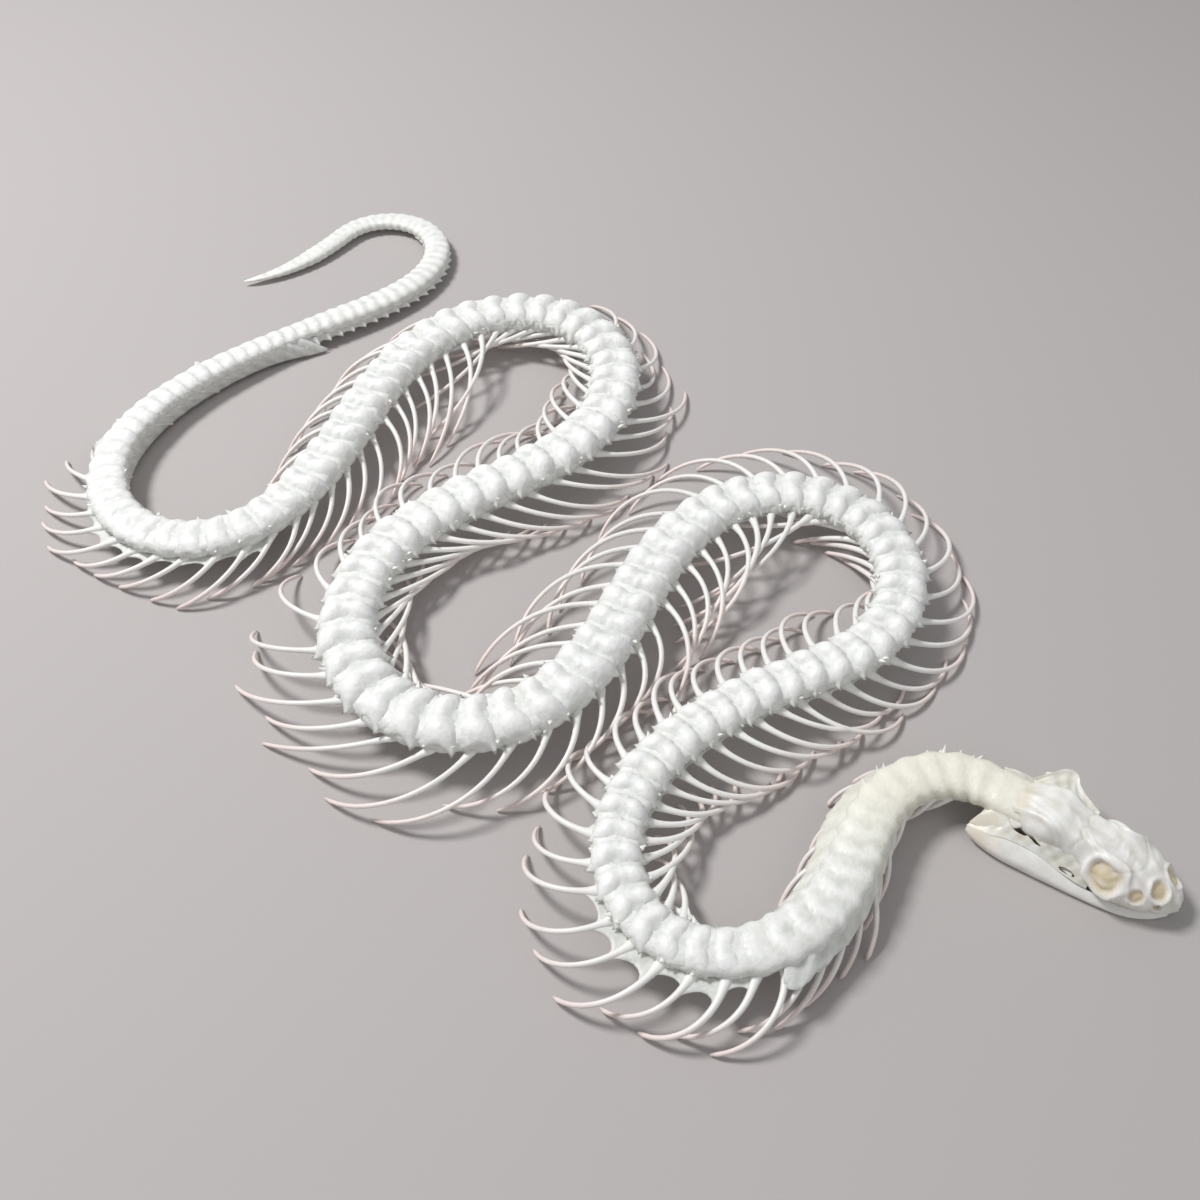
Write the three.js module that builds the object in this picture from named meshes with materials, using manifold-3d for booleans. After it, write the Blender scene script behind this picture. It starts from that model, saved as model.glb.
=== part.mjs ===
// Skeleton of a small water snake, lying on its belly in three loose bends.
// Millimetres, +Z up, floor at Z = 0, origin under the middle of the whole skeleton.
//
// The backbone is one curve that runs from the skull to the tip of the tail. Every
// vertebra and every rib is placed by its distance along that curve.

import * as THREE from 'three';
import { mergeVertices } from 'three/addons/utils/BufferGeometryUtils.js';
import Module from 'manifold-3d';

const radians = THREE.MathUtils.degToRad;

// ---------------------------------------------------------------- driving dimensions

const SPINE_LENGTH = 583;
const SPINE_START = { x: 58.88, y: -52.84 };
const START_HEADING = 145;
const PATH_STEP = 0.25;

// How fast the backbone turns, in degrees per millimetre (positive to the left when
// travelling from skull to tail), at distances along it.
const TURN_RATE = [
  [0, 6.8], [14, 4.5], [26, -1.8], [53, -5.3], [79, -1.9], [105, -0.2], [111, 2.8], [152, 4.0],
  [198, -1.0], [217, -3.8], [250, -2.7], [275, -1.2], [292, 1.4], [340, 3.8], [408, -1.8],
  [415, -4.4], [445, -2.7], [480, -0.7], [500, -0.2], [518, 2.2], [545, 5.4], [556, 6.6],
  [561, -0.7], [583, -3.3],
];

// Height of the middle of the vertebrae over the floor, along the backbone.
const SPINE_HEIGHT = [[0, 4.6], [40, 5.6], [200, 6.2], [380, 6.0], [440, 5.0], [492, 3.2], [583, 1.0]];

// Vertebrae: spacing at the neck, how it grows to the middle and shrinks to the tail.
const FIRST_VERTEBRA = -1.7;
const NECK_PITCH = 2.9;
const BODY_GROWTH = { amount: 1.3, from: 0, over: 210 };
const REAR_TAPER = { amount: 1.9, from: 365, over: 150 };
const TAIL_TAPER = { amount: 0.7, from: 500, over: 83 };
const LAST_MARGIN = 0.5;

// A vertebra's outline as shares of its pitch.
const WING = { front: 1.02, rear: 0.8 };
const CROWN = { front: 0.36, rear: 0.62 };
const KEEL = { front: 0.52, rear: 0.36 };
const STATION = { front: -0.38, rear: 0.3 };
const WING_DROP = 0.06;

// The neck is a little broadened by dried tissue, and the tail's keels reach the floor.
const NECK_BREADTH = 0.05;
const TAIL_ROOT = 12;
const TAIL_NOTCH = 0.75;

// How the ribs lie, along the backbone: [distance, length, sweep at the root, sweep at the
// tip, droop], with the angles in degrees. Sweep 0 points straight out from the backbone
// and 90 points along it towards the tail.
const RIB_POSTURE = {
  right: [
    [0, 5, 50, 100, 40], [34, 14, 45, 108, 36], [38, 15, 25, 130, 25], [58, 16, -5, 110, 35],
    [68, 16.5, 5, 130, 30], [82, 16.5, 10, 125, 28], [92, 17, -5, 125, 22],
    [108, 17.5, -5, 105, 26], [118, 15, 45, 110, 40], [126, 15, 66, 98, 45],
    [138, 16, 66, 96, 45], [146, 24, 30, 90, 45], [152, 27, 5, 100, 45], [158, 27, 5, 110, 45],
    [182, 20, 15, 110, 35], [190, 17, 25, 120, 30], [198, 18, 35, 140, 30],
    [216, 24, 30, 150, 25], [226, 21.5, 50, 105, 20], [244, 20.5, 0, 105, 35],
    [254, 21, 35, 130, 25], [266, 20.5, 15, 115, 25], [290, 21, 10, 110, 18],
    [318, 20, 30, 105, 30], [335, 18, 40, 100, 45], [345, 22, 30, 95, 45],
    [352, 28, 12, 92, 55], [360, 28, 25, 85, 55], [374, 22, 30, 110, 40],
    [390, 17.5, 35, 110, 30], [404, 17, 45, 130, 30], [425, 14, 30, 120, 22],
    [441, 15, 32, 80, 12], [450, 12, 50, 100, 40], [456, 8, 60, 95, 40], [490, 5, 60, 95, 40],
  ],
  left: [
    [0, 5, 45, 100, 40], [18, 10, 25, 112, 34], [34, 12, 52, 100, 40], [46, 13, 60, 98, 45],
    [51, 13, 10, 80, 40], [67, 16.5, 0, 125, 24], [84, 18.5, -5, 108, 15],
    [90, 19.5, 10, 124, 24], [106, 18, 25, 142, 15], [128, 21, 22, 138, 13],
    [134, 22.5, 30, 120, 20], [152, 21.5, 18, 106, 28], [166, 21.5, 24, 122, 38],
    [173, 22.5, 36, 119, 42], [182, 26, 25, 112, 34], [190, 24, 26, 86, 27],
    [200, 20, 16, 92, 35], [205, 16, 28, 75, 38], [217, 19, 46, 35, 30], [233, 21.5, 35, 76, 28],
    [256, 22, 42, 92, 22], [268, 22.5, 26, 125, 20], [290, 22, 26, 125, 19],
    [300, 20, 42, 125, 16], [320, 19.5, 30, 128, 10], [338, 18, 45, 104, 28],
    [355, 17.5, 45, 98, 28], [374, 16.5, 26, 98, 35], [388, 16.5, 28, 93, 35],
    [398, 12, 55, 98, 42], [408, 7.5, 72, 112, 45], [490, 5, 72, 110, 45],
  ],
};
const POSTURE_COLUMN = { length: 1, rootSweep: 2, tipSweep: 3, droop: 4 };
const FIRST_RIB = 4;
const LAST_RIB = 489;
const RIB_RADIUS = { root: 0.45, middle: 0.42, tip: 0.3, middleAt: 0.25 };
const RIB_CORNERS = [90, 210, 330];
// A three-sided bar's flats lie at half the distance of its corners.
const FLAT_SHARE = 0.5;
const RIB_ROOT_OUT = 0.45;
const RIB_ROOT_DROP = 0.25;
const CURL_POWER = 1.2;
const HUG = { from: 50, over: 20, steadying: 0.7 };
const STEEPEST_RISE = radians(-17);
const STEEPEST_FALL = radians(69);
const RIB_VARIATION = { length: 0.08, root: 6, tip: 12 };
const SALT = { length: 0, root: 5, tip: 9 };
const LONG_RIB = 17;
const SHORT_RIB = 9;

// Where the backbone is parted into lengths, and the gap that every parting leaves.
const NECK_END = 24;
const TRUNK_END = 491;
const TRUNK_LENGTHS = 11;
const TAIL_LENGTHS = 3;
const GAP = 0.3;

// Skull: the middle of its back edge ahead of the backbone's start, and how it is turned.
// The skull's own frame has +X to the snout, +Y to the animal's left and +Z up.
const SKULL = { ahead: 3.2, aside: -0.25, heading: -38 };

// Cranium: [distance from the back edge, bottom, top, half width of roof, half width of base].
const CRANIUM = [
  [-0.1, 4.4, 6.2, 1.0, 1.2], [0.9, 4.0, 7.1, 1.8, 2.3], [2.4, 3.8, 7.6, 2.7, 3.2],
  [5.0, 3.8, 7.8, 3.0, 3.6], [7.8, 3.6, 7.5, 2.7, 3.2], [10.0, 3.0, 7.2, 2.4, 3.2],
  [11.6, 2.4, 7.1, 2.8, 4.2], [13.6, 2.2, 6.9, 3.5, 4.8], [15.6, 2.1, 6.4, 3.1, 4.5],
  [17.6, 2.1, 5.7, 2.6, 3.9], [19.4, 2.1, 4.9, 2.1, 3.0], [20.8, 2.1, 3.9, 1.4, 2.0],
  [21.6, 2.2, 3.1, 0.6, 0.9],
];
// The cranium's section: how far the roof's edge lies under its crest, the height of its
// widest place as a share of the whole, and the rounding under it.
const ROOF = { edge: 0.35, crest: 0.5 };
const WIDEST_AT = 0.45;
const BASE = { edge: 0.95, lift: 0.2, floor: 0.5 };
const ORBIT = { along: 13.0, aside: 4.2, up: 5.3, radius: 2.0 };
const NASAL_OPENING = { along: 18.6, aside: 1.6, up: 5.5, radius: 1.15 };
const BALL = { around: 10, rings: 7 };

// Supratemporal and quadrate, from the back of the roof out and down to the jaw joint. The
// left one has swung forward in drying: [along, aside, up, half width along, half thickness].
const QUADRATE = {
  left: [[4.4, 3.8, 6.6, 3.0, 0.4], [4.2, 6.0, 6.2, 1.2, 0.4], [2.6, 6.6, 4.2, 0.9, 0.4]],
  right: [[0.5, 3.5, 6.0, 1.6, 0.35], [-0.7, 4.4, 5.1, 1.6, 0.4], [-1.9, 5.2, 3.6, 1.0, 0.4]],
};

// Pterygoid bar of the palate: [along, aside, up, half thickness].
const PTERYGOID = [
  [-1.6, 4.2, 2.6, 0.35], [3.0, 3.6, 2.9, 0.4], [7.5, 3.7, 2.6, 0.4], [10.0, 4.0, 2.4, 0.35],
];

// Lower jaw: [along, aside, bottom, top, half thickness, how far the top edge leans in].
const MANDIBLE = [
  [-3.0, 5.4, 1.2, 2.3, 0.35, 0.1], [-1.4, 5.75, 0.5, 2.9, 0.5, 0.4],
  [1.6, 5.9, 0.1, 3.4, 0.55, 1.0], [6.0, 5.5, 0.0, 3.2, 0.5, 0.9],
  [10.0, 5.0, 0.0, 2.2, 0.5, 0.4], [14.0, 4.4, 0.0, 1.7, 0.5, 0.2],
  [17.0, 3.65, 0.0, 1.6, 0.5, 0.2], [19.4, 2.3, 0.1, 1.6, 0.5, 0.2], [21.0, 0.8, 0.3, 1.6, 0.35, 0.1],
];

const SIDES = [{ name: 'right', sign: 1 }, { name: 'left', sign: -1 }];
const BOTH = { name: 'whole', sign: 0 };

const BONE = { color: 0xf1f1ec, roughness: 0.62, metalness: 0 };
const IVORY = { color: 0xeeeadd, roughness: 0.6, metalness: 0 };

// ---------------------------------------------------------------- small helpers

const wasm = await Module();
wasm.setup();

function smooth(t) {
  const c = THREE.MathUtils.clamp(t, 0, 1);
  return c * c * (3 - 2 * c);
}

function lookUp(rows, s, column = 1) {
  if (s <= rows[0][0]) return rows[0][column];
  for (let i = 1; i < rows.length; i += 1) {
    const [a, b] = [rows[i - 1], rows[i]];
    if (s <= b[0]) return a[column] + ((b[column] - a[column]) * (s - a[0])) / (b[0] - a[0]);
  }
  return rows[rows.length - 1][column];
}

// A repeatable number from 0 to 1 that gives each rib its own small difference.
function variation(index, salt) {
  const x = Math.sin(index * 12.9898 + salt * 78.233) * 43758.5453;
  return x - Math.floor(x);
}

// Closed body through rings that have the same number of points, faces outward.
function loft(rings) {
  const count = rings[0].length;
  const positions = rings.flat().flatMap((p) => [p.x, p.y, p.z]);
  const index = [];
  for (let r = 0; r + 1 < rings.length; r += 1) {
    for (let k = 0; k < count; k += 1) {
      const a = r * count + k;
      const b = r * count + ((k + 1) % count);
      index.push(a, b, b + count, a, b + count, a + count);
    }
  }
  const last = (rings.length - 1) * count;
  for (let k = 1; k + 1 < count; k += 1) {
    index.push(0, k + 1, k, last, last + k, last + k + 1);
  }
  const geometry = new THREE.BufferGeometry();
  geometry.setAttribute('position', new THREE.Float32BufferAttribute(positions, 3));
  geometry.setIndex(signedVolume(positions, index) < 0 ? turned(index) : index);
  return geometry;
}

function signedVolume(positions, index) {
  const corner = (i) => new THREE.Vector3().fromArray(positions, 3 * i);
  let sum = 0;
  for (let i = 0; i < index.length; i += 3) {
    const normal = corner(index[i + 1]).cross(corner(index[i + 2]));
    sum += corner(index[i]).dot(normal);
  }
  return sum;
}

function turned(index) {
  const out = [];
  for (let i = 0; i < index.length; i += 3) out.push(index[i], index[i + 2], index[i + 1]);
  return out;
}

function toSolid(geometry) {
  const bare = geometry.index ? geometry.clone() : geometry;
  bare.deleteAttribute('normal');
  bare.deleteAttribute('uv');
  const merged = mergeVertices(bare, 1e-5);
  return new wasm.Manifold(new wasm.Mesh({
    numProp: 3,
    vertProperties: new Float32Array(merged.attributes.position.array),
    triVerts: new Uint32Array(merged.index.array),
  }));
}

function toGeometry(solid) {
  const mesh = solid.getMesh();
  const geometry = new THREE.BufferGeometry();
  geometry.setAttribute('position', new THREE.BufferAttribute(mesh.vertProperties, 3));
  geometry.setIndex(new THREE.BufferAttribute(mesh.triVerts, 1));
  return geometry;
}

// The biggest piece of a solid, without the crumbs that a cut leaves.
function biggestPiece(solid) {
  return solid.decompose().sort((a, b) => b.volume() - a.volume())[0];
}

function boxesMeet(a, b) {
  const [p, q] = [a.boundingBox(), b.boundingBox()];
  return [0, 1, 2].every((k) => p.min[k] < q.max[k] + GAP && q.min[k] < p.max[k] + GAP);
}

function cutClear(solid, obstacles) {
  return obstacles.filter((o) => boxesMeet(solid, o)).reduce((left, o) => left.subtract(o), solid);
}

// ---------------------------------------------------------------- backbone curve

function tracePath() {
  const points = [{ x: SPINE_START.x, y: SPINE_START.y, heading: radians(START_HEADING) }];
  for (let s = PATH_STEP; s <= SPINE_LENGTH + PATH_STEP; s += PATH_STEP) {
    const before = points[points.length - 1];
    const rate = (lookUp(TURN_RATE, s - PATH_STEP) + lookUp(TURN_RATE, s)) / 2;
    const heading = before.heading + radians(rate) * PATH_STEP;
    const middle = (before.heading + heading) / 2;
    points.push({
      x: before.x + Math.cos(middle) * PATH_STEP,
      y: before.y + Math.sin(middle) * PATH_STEP,
      heading,
    });
  }
  return points;
}

const PATH = tracePath();

// Point, direction to the tail and direction to the animal's right side at a distance.
function backbone(s) {
  const place = THREE.MathUtils.clamp(s / PATH_STEP, 0, PATH.length - 1.001);
  const [a, b] = [PATH[Math.floor(place)], PATH[Math.floor(place) + 1]];
  const t = place - Math.floor(place);
  const heading = a.heading + (b.heading - a.heading) * t;
  const along = new THREE.Vector3(Math.cos(heading), Math.sin(heading), 0);
  const right = new THREE.Vector3(-Math.sin(heading), Math.cos(heading), 0);
  const point = new THREE.Vector3(a.x + (b.x - a.x) * t, a.y + (b.y - a.y) * t, lookUp(SPINE_HEIGHT, s));
  if (s < 0) point.addScaledVector(along, s);
  return { point, along, right };
}

function pitchAt(s) {
  const growth = BODY_GROWTH.amount * smooth((s - BODY_GROWTH.from) / BODY_GROWTH.over);
  const rear = REAR_TAPER.amount * smooth((s - REAR_TAPER.from) / REAR_TAPER.over);
  const tail = TAIL_TAPER.amount * smooth((s - TAIL_TAPER.from) / TAIL_TAPER.over);
  return NECK_PITCH + growth - rear - tail;
}

function placeVertebrae() {
  const places = [FIRST_VERTEBRA];
  for (;;) {
    const last = places[places.length - 1];
    const next = last + pitchAt(last);
    if (next > SPINE_LENGTH - LAST_MARGIN) return places.map((s, index) => ({ s, index, pitch: pitchAt(s) }));
    places.push(next);
  }
}

// ---------------------------------------------------------------- vertebrae

// A ring of a vertebra. A half ring has the crown, a wing tip and the keel, and a whole one
// adds the other wing tip.
function vertebraRing(s, pitch, side, end, grow) {
  const { point, right } = backbone(s);
  const corner = (out, up) => point.clone()
    .addScaledVector(right, out)
    .setZ(Math.max(0, point.z + up));
  const breadth = 1 + NECK_BREADTH * (1 - smooth(s / NECK_END));
  const wing = WING[end] * breadth * pitch + grow;
  const tailShare = smooth((s - TRUNK_END) / TAIL_ROOT) * (end === 'front' ? 1 : TAIL_NOTCH);
  const keel = THREE.MathUtils.lerp(KEEL[end] * pitch, point.z, tailShare);
  const inner = side.sign * (GAP / 2 - grow);
  const ring = [
    corner(inner, CROWN[end] * pitch + grow),
    corner((side.sign || 1) * wing, -WING_DROP * pitch),
    corner(inner, -keel - grow),
  ];
  if (side === BOTH) ring.push(corner(-wing, -WING_DROP * pitch));
  return ring;
}

function spineOf(vertebrae, side, grow = 0) {
  const rings = vertebrae.flatMap(({ s, pitch }) => [
    vertebraRing(s + STATION.front * pitch, pitch, side, 'front', grow),
    vertebraRing(s + STATION.rear * pitch, pitch, side, 'rear', grow),
  ]);
  const last = vertebrae[vertebrae.length - 1];
  const end = last.s + (STATION.front + 1) * last.pitch - GAP + grow;
  rings.push(vertebraRing(end, last.pitch, side, 'front', grow));
  return toSolid(loft(rings));
}

// ---------------------------------------------------------------- ribs

const CURVE_STEPS = 14;
const HALVINGS = 22;

function radiusAt(u) {
  const { root, middle, tip, middleAt } = RIB_RADIUS;
  if (u < middleAt) return root + ((middle - root) * u) / middleAt;
  return middle + ((tip - middle) * (u - middleAt)) / (1 - middleAt);
}

// The value between two that a rising function brings to its goal.
function solve(rising, goal, from, to) {
  let [low, high] = [from, to];
  for (let n = 0; n < HALVINGS; n += 1) {
    const middle = (low + high) / 2;
    if (rising(middle) < goal) low = middle;
    else high = middle;
  }
  return (low + high) / 2;
}

// The middle line of one rib, from inside its vertebra to its free tip. The rib lies in a
// plane tilted so that its lowest point touches the floor. A rib that is swept far back
// follows the bend of the body.
function ribCurve(vertebra, side) {
  const { s, index, pitch } = vertebra;
  const posture = (name) => lookUp(RIB_POSTURE[side.name], s, POSTURE_COLUMN[name]);
  const hug = smooth((posture('rootSweep') - HUG.from) / HUG.over);
  const freedom = 1 - HUG.steadying * hug;
  const vary = (name) => (
    RIB_VARIATION[name] * freedom * (2 * variation(index, side.sign + SALT[name]) - 1)
  );
  const length = posture('length') * (1 + vary('length'));
  const rootSweep = posture('rootSweep') + vary('root');
  const tipSweep = posture('tipSweep') + vary('tip');
  const outward = [0];
  const back = [0];
  for (let k = 0; k < CURVE_STEPS; k += 1) {
    const u = (k + 0.5) / CURVE_STEPS;
    const sweep = radians(rootSweep + (tipSweep - rootSweep) * u ** CURL_POWER);
    outward.push(outward[k] + (Math.cos(sweep) * length) / CURVE_STEPS);
    back.push(back[k] + (Math.sin(sweep) * length) / CURVE_STEPS);
  }
  const rootHeight = backbone(s).point.z - RIB_ROOT_DROP * pitch;
  const fall = (tilt, droop, k) => Math.sin(tilt) * outward[k] + Math.sin(droop) * back[k];
  const reach = (k) => radiusAt(k / CURVE_STEPS);
  const deepest = (tilt, droop) => Math.max(...outward.map((_, k) => fall(tilt, droop, k) + reach(k)));
  let droop = radians(posture('droop'));
  let tilt = STEEPEST_RISE;
  if (deepest(tilt, droop) > rootHeight) {
    droop = solve((angle) => deepest(tilt, angle), rootHeight, 0, droop);
  } else {
    tilt = solve((angle) => deepest(angle, droop), rootHeight, STEEPEST_RISE, STEEPEST_FALL);
  }
  return outward.map((_, k) => {
    const towardsTail = back[k] * Math.cos(droop);
    const { point, along, right } = backbone(s + hug * towardsTail);
    const out = side.sign * (RIB_ROOT_OUT * pitch + outward[k] * Math.cos(tilt));
    point.addScaledVector(right, out).addScaledVector(along, (1 - hug) * towardsTail);
    return point.setZ(rootHeight - fall(tilt, droop, k));
  });
}

// A three-sided tapering bar along the rib's middle line.
function rib(vertebra, side, grow = 0) {
  const curve = new THREE.CatmullRomCurve3(ribCurve(vertebra, side));
  const length = lookUp(RIB_POSTURE[side.name], vertebra.s);
  const steps = 1 + (length > SHORT_RIB) + (length > LONG_RIB);
  const rings = [];
  for (let k = 0; k <= steps; k += 1) {
    const u = k / steps;
    const centre = curve.getPoint(u);
    const along = curve.getTangent(u);
    const across = new THREE.Vector3(0, 0, 1).cross(along).normalize();
    const up = along.clone().cross(across);
    rings.push(RIB_CORNERS.map((angle) => {
      const reach = radiusAt(u) + grow / FLAT_SHARE;
      const turn = radians(angle);
      return centre.clone()
        .addScaledVector(across, Math.cos(turn) * reach)
        .addScaledVector(up, Math.sin(turn) * reach);
    }));
  }
  return toSolid(loft(rings));
}

// ---------------------------------------------------------------- assembly of the body

function lengthsOfBody() {
  const lengths = [{ name: 'neck', from: FIRST_VERTEBRA, to: NECK_END, sides: SIDES }];
  const step = (TRUNK_END - NECK_END) / TRUNK_LENGTHS;
  for (let k = 0; k < TRUNK_LENGTHS; k += 1) {
    const from = NECK_END + k * step;
    const name = `trunk_${String(k + 1).padStart(2, '0')}`;
    lengths.push({ name, from, to: from + step, sides: SIDES });
  }
  const tailStep = (SPINE_LENGTH - TRUNK_END) / TAIL_LENGTHS;
  for (let k = 0; k < TAIL_LENGTHS; k += 1) {
    const from = TRUNK_END + k * tailStep;
    lengths.push({ name: `tail_${k + 1}`, from, to: from + tailStep, sides: [BOTH] });
  }
  return lengths;
}

function ribsOf(vertebrae, side, grow = 0) {
  const bearing = side === BOTH ? [] : vertebrae.filter(({ s }) => s > FIRST_RIB && s < LAST_RIB);
  return wasm.Manifold.union(bearing.map((vertebra) => rib(vertebra, side, grow)));
}

// Every part is its vertebrae with their ribs. A rib that would run into another part's
// vertebrae, or into the ribs of a part made before it, is cut short of them.
function buildBody(group) {
  const vertebrae = placeVertebrae();
  const parts = lengthsOfBody().flatMap(({ name, from, to, sides }) => {
    const own = vertebrae.filter(({ s }) => s >= from && s < to);
    return sides.map((side) => ({
      name: side === BOTH ? name : `${name}_${side.name}`,
      spine: spineOf(own, side),
      spineSpace: spineOf(own, side, GAP),
      ribs: ribsOf(own, side),
      ribSpace: ribsOf(own, side, GAP),
    }));
  });
  parts.forEach((part, index) => {
    const otherSpines = parts.filter((other) => other !== part).map((other) => other.spineSpace);
    const earlierRibs = parts.slice(0, index).map((other) => other.ribSpace);
    const ribs = cutClear(part.ribs, [...otherSpines, ...earlierRibs]);
    const mesh = new THREE.Mesh(
      toGeometry(biggestPiece(part.spine.add(ribs))),
      new THREE.MeshStandardMaterial(BONE),
    );
    mesh.name = part.name;
    group.add(mesh);
  });
}

// ---------------------------------------------------------------- skull

function at(x, y, z) {
  return new THREE.Vector3(x, y, z);
}

function craniumRing([x, bottom, top, roof, base]) {
  const half = [
    [roof * ROOF.crest, top], [roof, top - ROOF.edge],
    [base, THREE.MathUtils.lerp(bottom, top, WIDEST_AT)],
    [base * BASE.edge, bottom + BASE.lift], [base * BASE.floor, bottom],
  ];
  const right = half.map(([y, z]) => at(x, -y, z));
  return [...half.map(([y, z]) => at(x, y, z)), ...right.reverse()];
}

function ball(x, y, z, radius) {
  return toSolid(new THREE.SphereGeometry(radius, BALL.around, BALL.rings)).translate([x, y, z]);
}

function cranium() {
  const openings = [ORBIT, NASAL_OPENING].flatMap(({ along, aside, up, radius }) => (
    [aside, -aside].map((y) => ball(along, y, up, radius))
  ));
  const solid = toSolid(loft(CRANIUM.map(craniumRing)));
  return openings.reduce((left, opening) => left.subtract(opening), solid);
}

function bar(rows, hand, ring) {
  return toSolid(loft(rows.map((row) => ring(row, hand))));
}

function mandibleRing([x, y, bottom, top, thick, lean], hand) {
  const middle = (bottom + top) / 2;
  return [
    at(x, hand * y, bottom), at(x, hand * (y + thick), middle),
    at(x, hand * (y - lean), top), at(x, hand * (y - thick), middle),
  ];
}

function quadrateRing([x, y, z, wide, thick], hand) {
  return [
    at(x - wide, hand * y, z - thick), at(x + wide, hand * y, z - thick),
    at(x + wide, hand * (y + thick), z + thick), at(x - wide, hand * (y + thick), z + thick),
  ];
}

function pterygoidRing([x, y, z, thick], hand) {
  return [at(x, hand * (y - thick), z), at(x, hand * y, z + thick), at(x, hand * y, z - thick)];
}

function buildSkull(group) {
  const start = backbone(0);
  const skull = new THREE.Group();
  const forward = at(Math.cos(radians(SKULL.heading)), Math.sin(radians(SKULL.heading)), 0);
  const aside = at(forward.y, -forward.x, 0);
  skull.position.set(start.point.x, start.point.y, 0);
  skull.position.addScaledVector(forward, SKULL.ahead).addScaledVector(aside, SKULL.aside);
  skull.rotation.set(0, 0, radians(SKULL.heading));
  const sides = [{ name: 'left', hand: 1 }, { name: 'right', hand: -1 }];
  const pieces = [{ name: 'cranium', solid: cranium() }];
  for (const { name, hand } of sides) {
    pieces.push({ name: `mandible_${name}`, solid: bar(MANDIBLE, hand, mandibleRing) });
    pieces.push({ name: `quadrate_${name}`, solid: bar(QUADRATE[name], hand, quadrateRing) });
    pieces.push({ name: `pterygoid_${name}`, solid: bar(PTERYGOID, hand, pterygoidRing) });
  }
  for (const { name, solid } of pieces) {
    const mesh = new THREE.Mesh(toGeometry(solid), new THREE.MeshStandardMaterial(IVORY));
    mesh.name = name;
    skull.add(mesh);
  }
  group.add(skull);
}

// ---------------------------------------------------------------- skeleton

const skeleton = new THREE.Group();
buildBody(skeleton);
buildSkull(skeleton);

export default skeleton;
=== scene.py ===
"""Looks of a small water snake's skeleton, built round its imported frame.

The backbone is one curve from the skull to the tip of the tail. Every vertebra, rib and
scrap of dried tissue is placed by its distance along that curve, in millimetres, and each
mesh is brought to metres when it is made.
"""

from __future__ import annotations

import logging
import math
from dataclasses import dataclass, field
from enum import Enum
from typing import Callable

import bpy
import numpy as np
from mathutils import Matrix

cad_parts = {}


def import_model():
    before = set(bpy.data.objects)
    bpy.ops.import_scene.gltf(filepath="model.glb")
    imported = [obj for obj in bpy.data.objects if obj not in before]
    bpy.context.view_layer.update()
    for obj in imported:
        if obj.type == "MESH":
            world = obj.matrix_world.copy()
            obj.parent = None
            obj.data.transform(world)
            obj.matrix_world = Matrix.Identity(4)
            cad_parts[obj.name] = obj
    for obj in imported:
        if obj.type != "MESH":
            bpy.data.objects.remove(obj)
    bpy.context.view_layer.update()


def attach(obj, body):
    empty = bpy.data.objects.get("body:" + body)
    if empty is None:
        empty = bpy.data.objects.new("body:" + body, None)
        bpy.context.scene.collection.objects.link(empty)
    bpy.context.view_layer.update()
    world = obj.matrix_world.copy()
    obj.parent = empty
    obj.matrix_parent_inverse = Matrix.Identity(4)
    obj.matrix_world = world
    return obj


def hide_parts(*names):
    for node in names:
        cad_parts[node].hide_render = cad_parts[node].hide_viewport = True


LOG = logging.getLogger("snake_skeleton")
Array = np.ndarray
Rows = tuple[tuple[float, ...], ...]
MILLIMETRE = 0.001
FLOOR_GAP = 0.02  # millimetres that the lowest points stay over the floor
FULL_TURN = 2 * math.pi
HALVINGS = 22  # how often a range is halved in a search


class Side(Enum):
    """A side of the animal, as its sign along the direction to the right."""

    RIGHT = 1
    LEFT = -1

    @property
    def word(self) -> str:
        """The side's name in small letters."""
        return self.name.lower()


# ------------------------------------------------------------------ number helpers


def smooth(value: Array | float) -> Array:
    """Rises from 0 to 1 with level ends: t squared times (3 - 2t), held outside 0 to 1."""
    t = np.clip(value, 0.0, 1.0)
    return t * t * (3 - 2 * t)


def hump(distance: Array, width: float) -> Array:
    """A bell: e to the power of minus the square of a distance over a width."""
    return np.exp(-((distance / width) ** 2))


def falling(place: Array, start: float, over: float) -> Array:
    """1 up to a start and then down to 0 over a distance, with level ends."""
    return 1 - smooth((place - start) / over)


def band(place: Array, start: float, rise: float, end: float, fall: float) -> Array:
    """Rises from 0 to 1 over a distance from a start, and falls over another from an end."""
    return smooth((place - start) / rise) * falling(place, end, fall)


def variation(index: Array | float, salt: float) -> Array:
    """Repeatable numbers from 0 to 1, the fraction of a big multiple of a sine.

    Args:
        index: Whole numbers that tell the pieces apart.
        salt: A number that tells the uses apart.

    Returns:
        One number for each index.
    """
    spread = np.sin(np.asarray(index, float) * 12.9898 + salt * 78.233) * 43758.5453
    return spread - np.floor(spread)


def wobble(index: Array | float, salt: float) -> Array:
    """Repeatable numbers from -1 to 1: twice the variation, less 1."""
    return 2 * variation(index, salt) - 1


def read_rows(rows: Array, where: Array | float, column: int = 1) -> Array:
    """Reads a table by straight lines between its rows.

    Args:
        rows: A table whose first column rises.
        where: Values of the first column.
        column: The column that is read.

    Returns:
        The column's value at each place, held at both ends.
    """
    return np.interp(where, rows[:, 0], rows[:, column])


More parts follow.
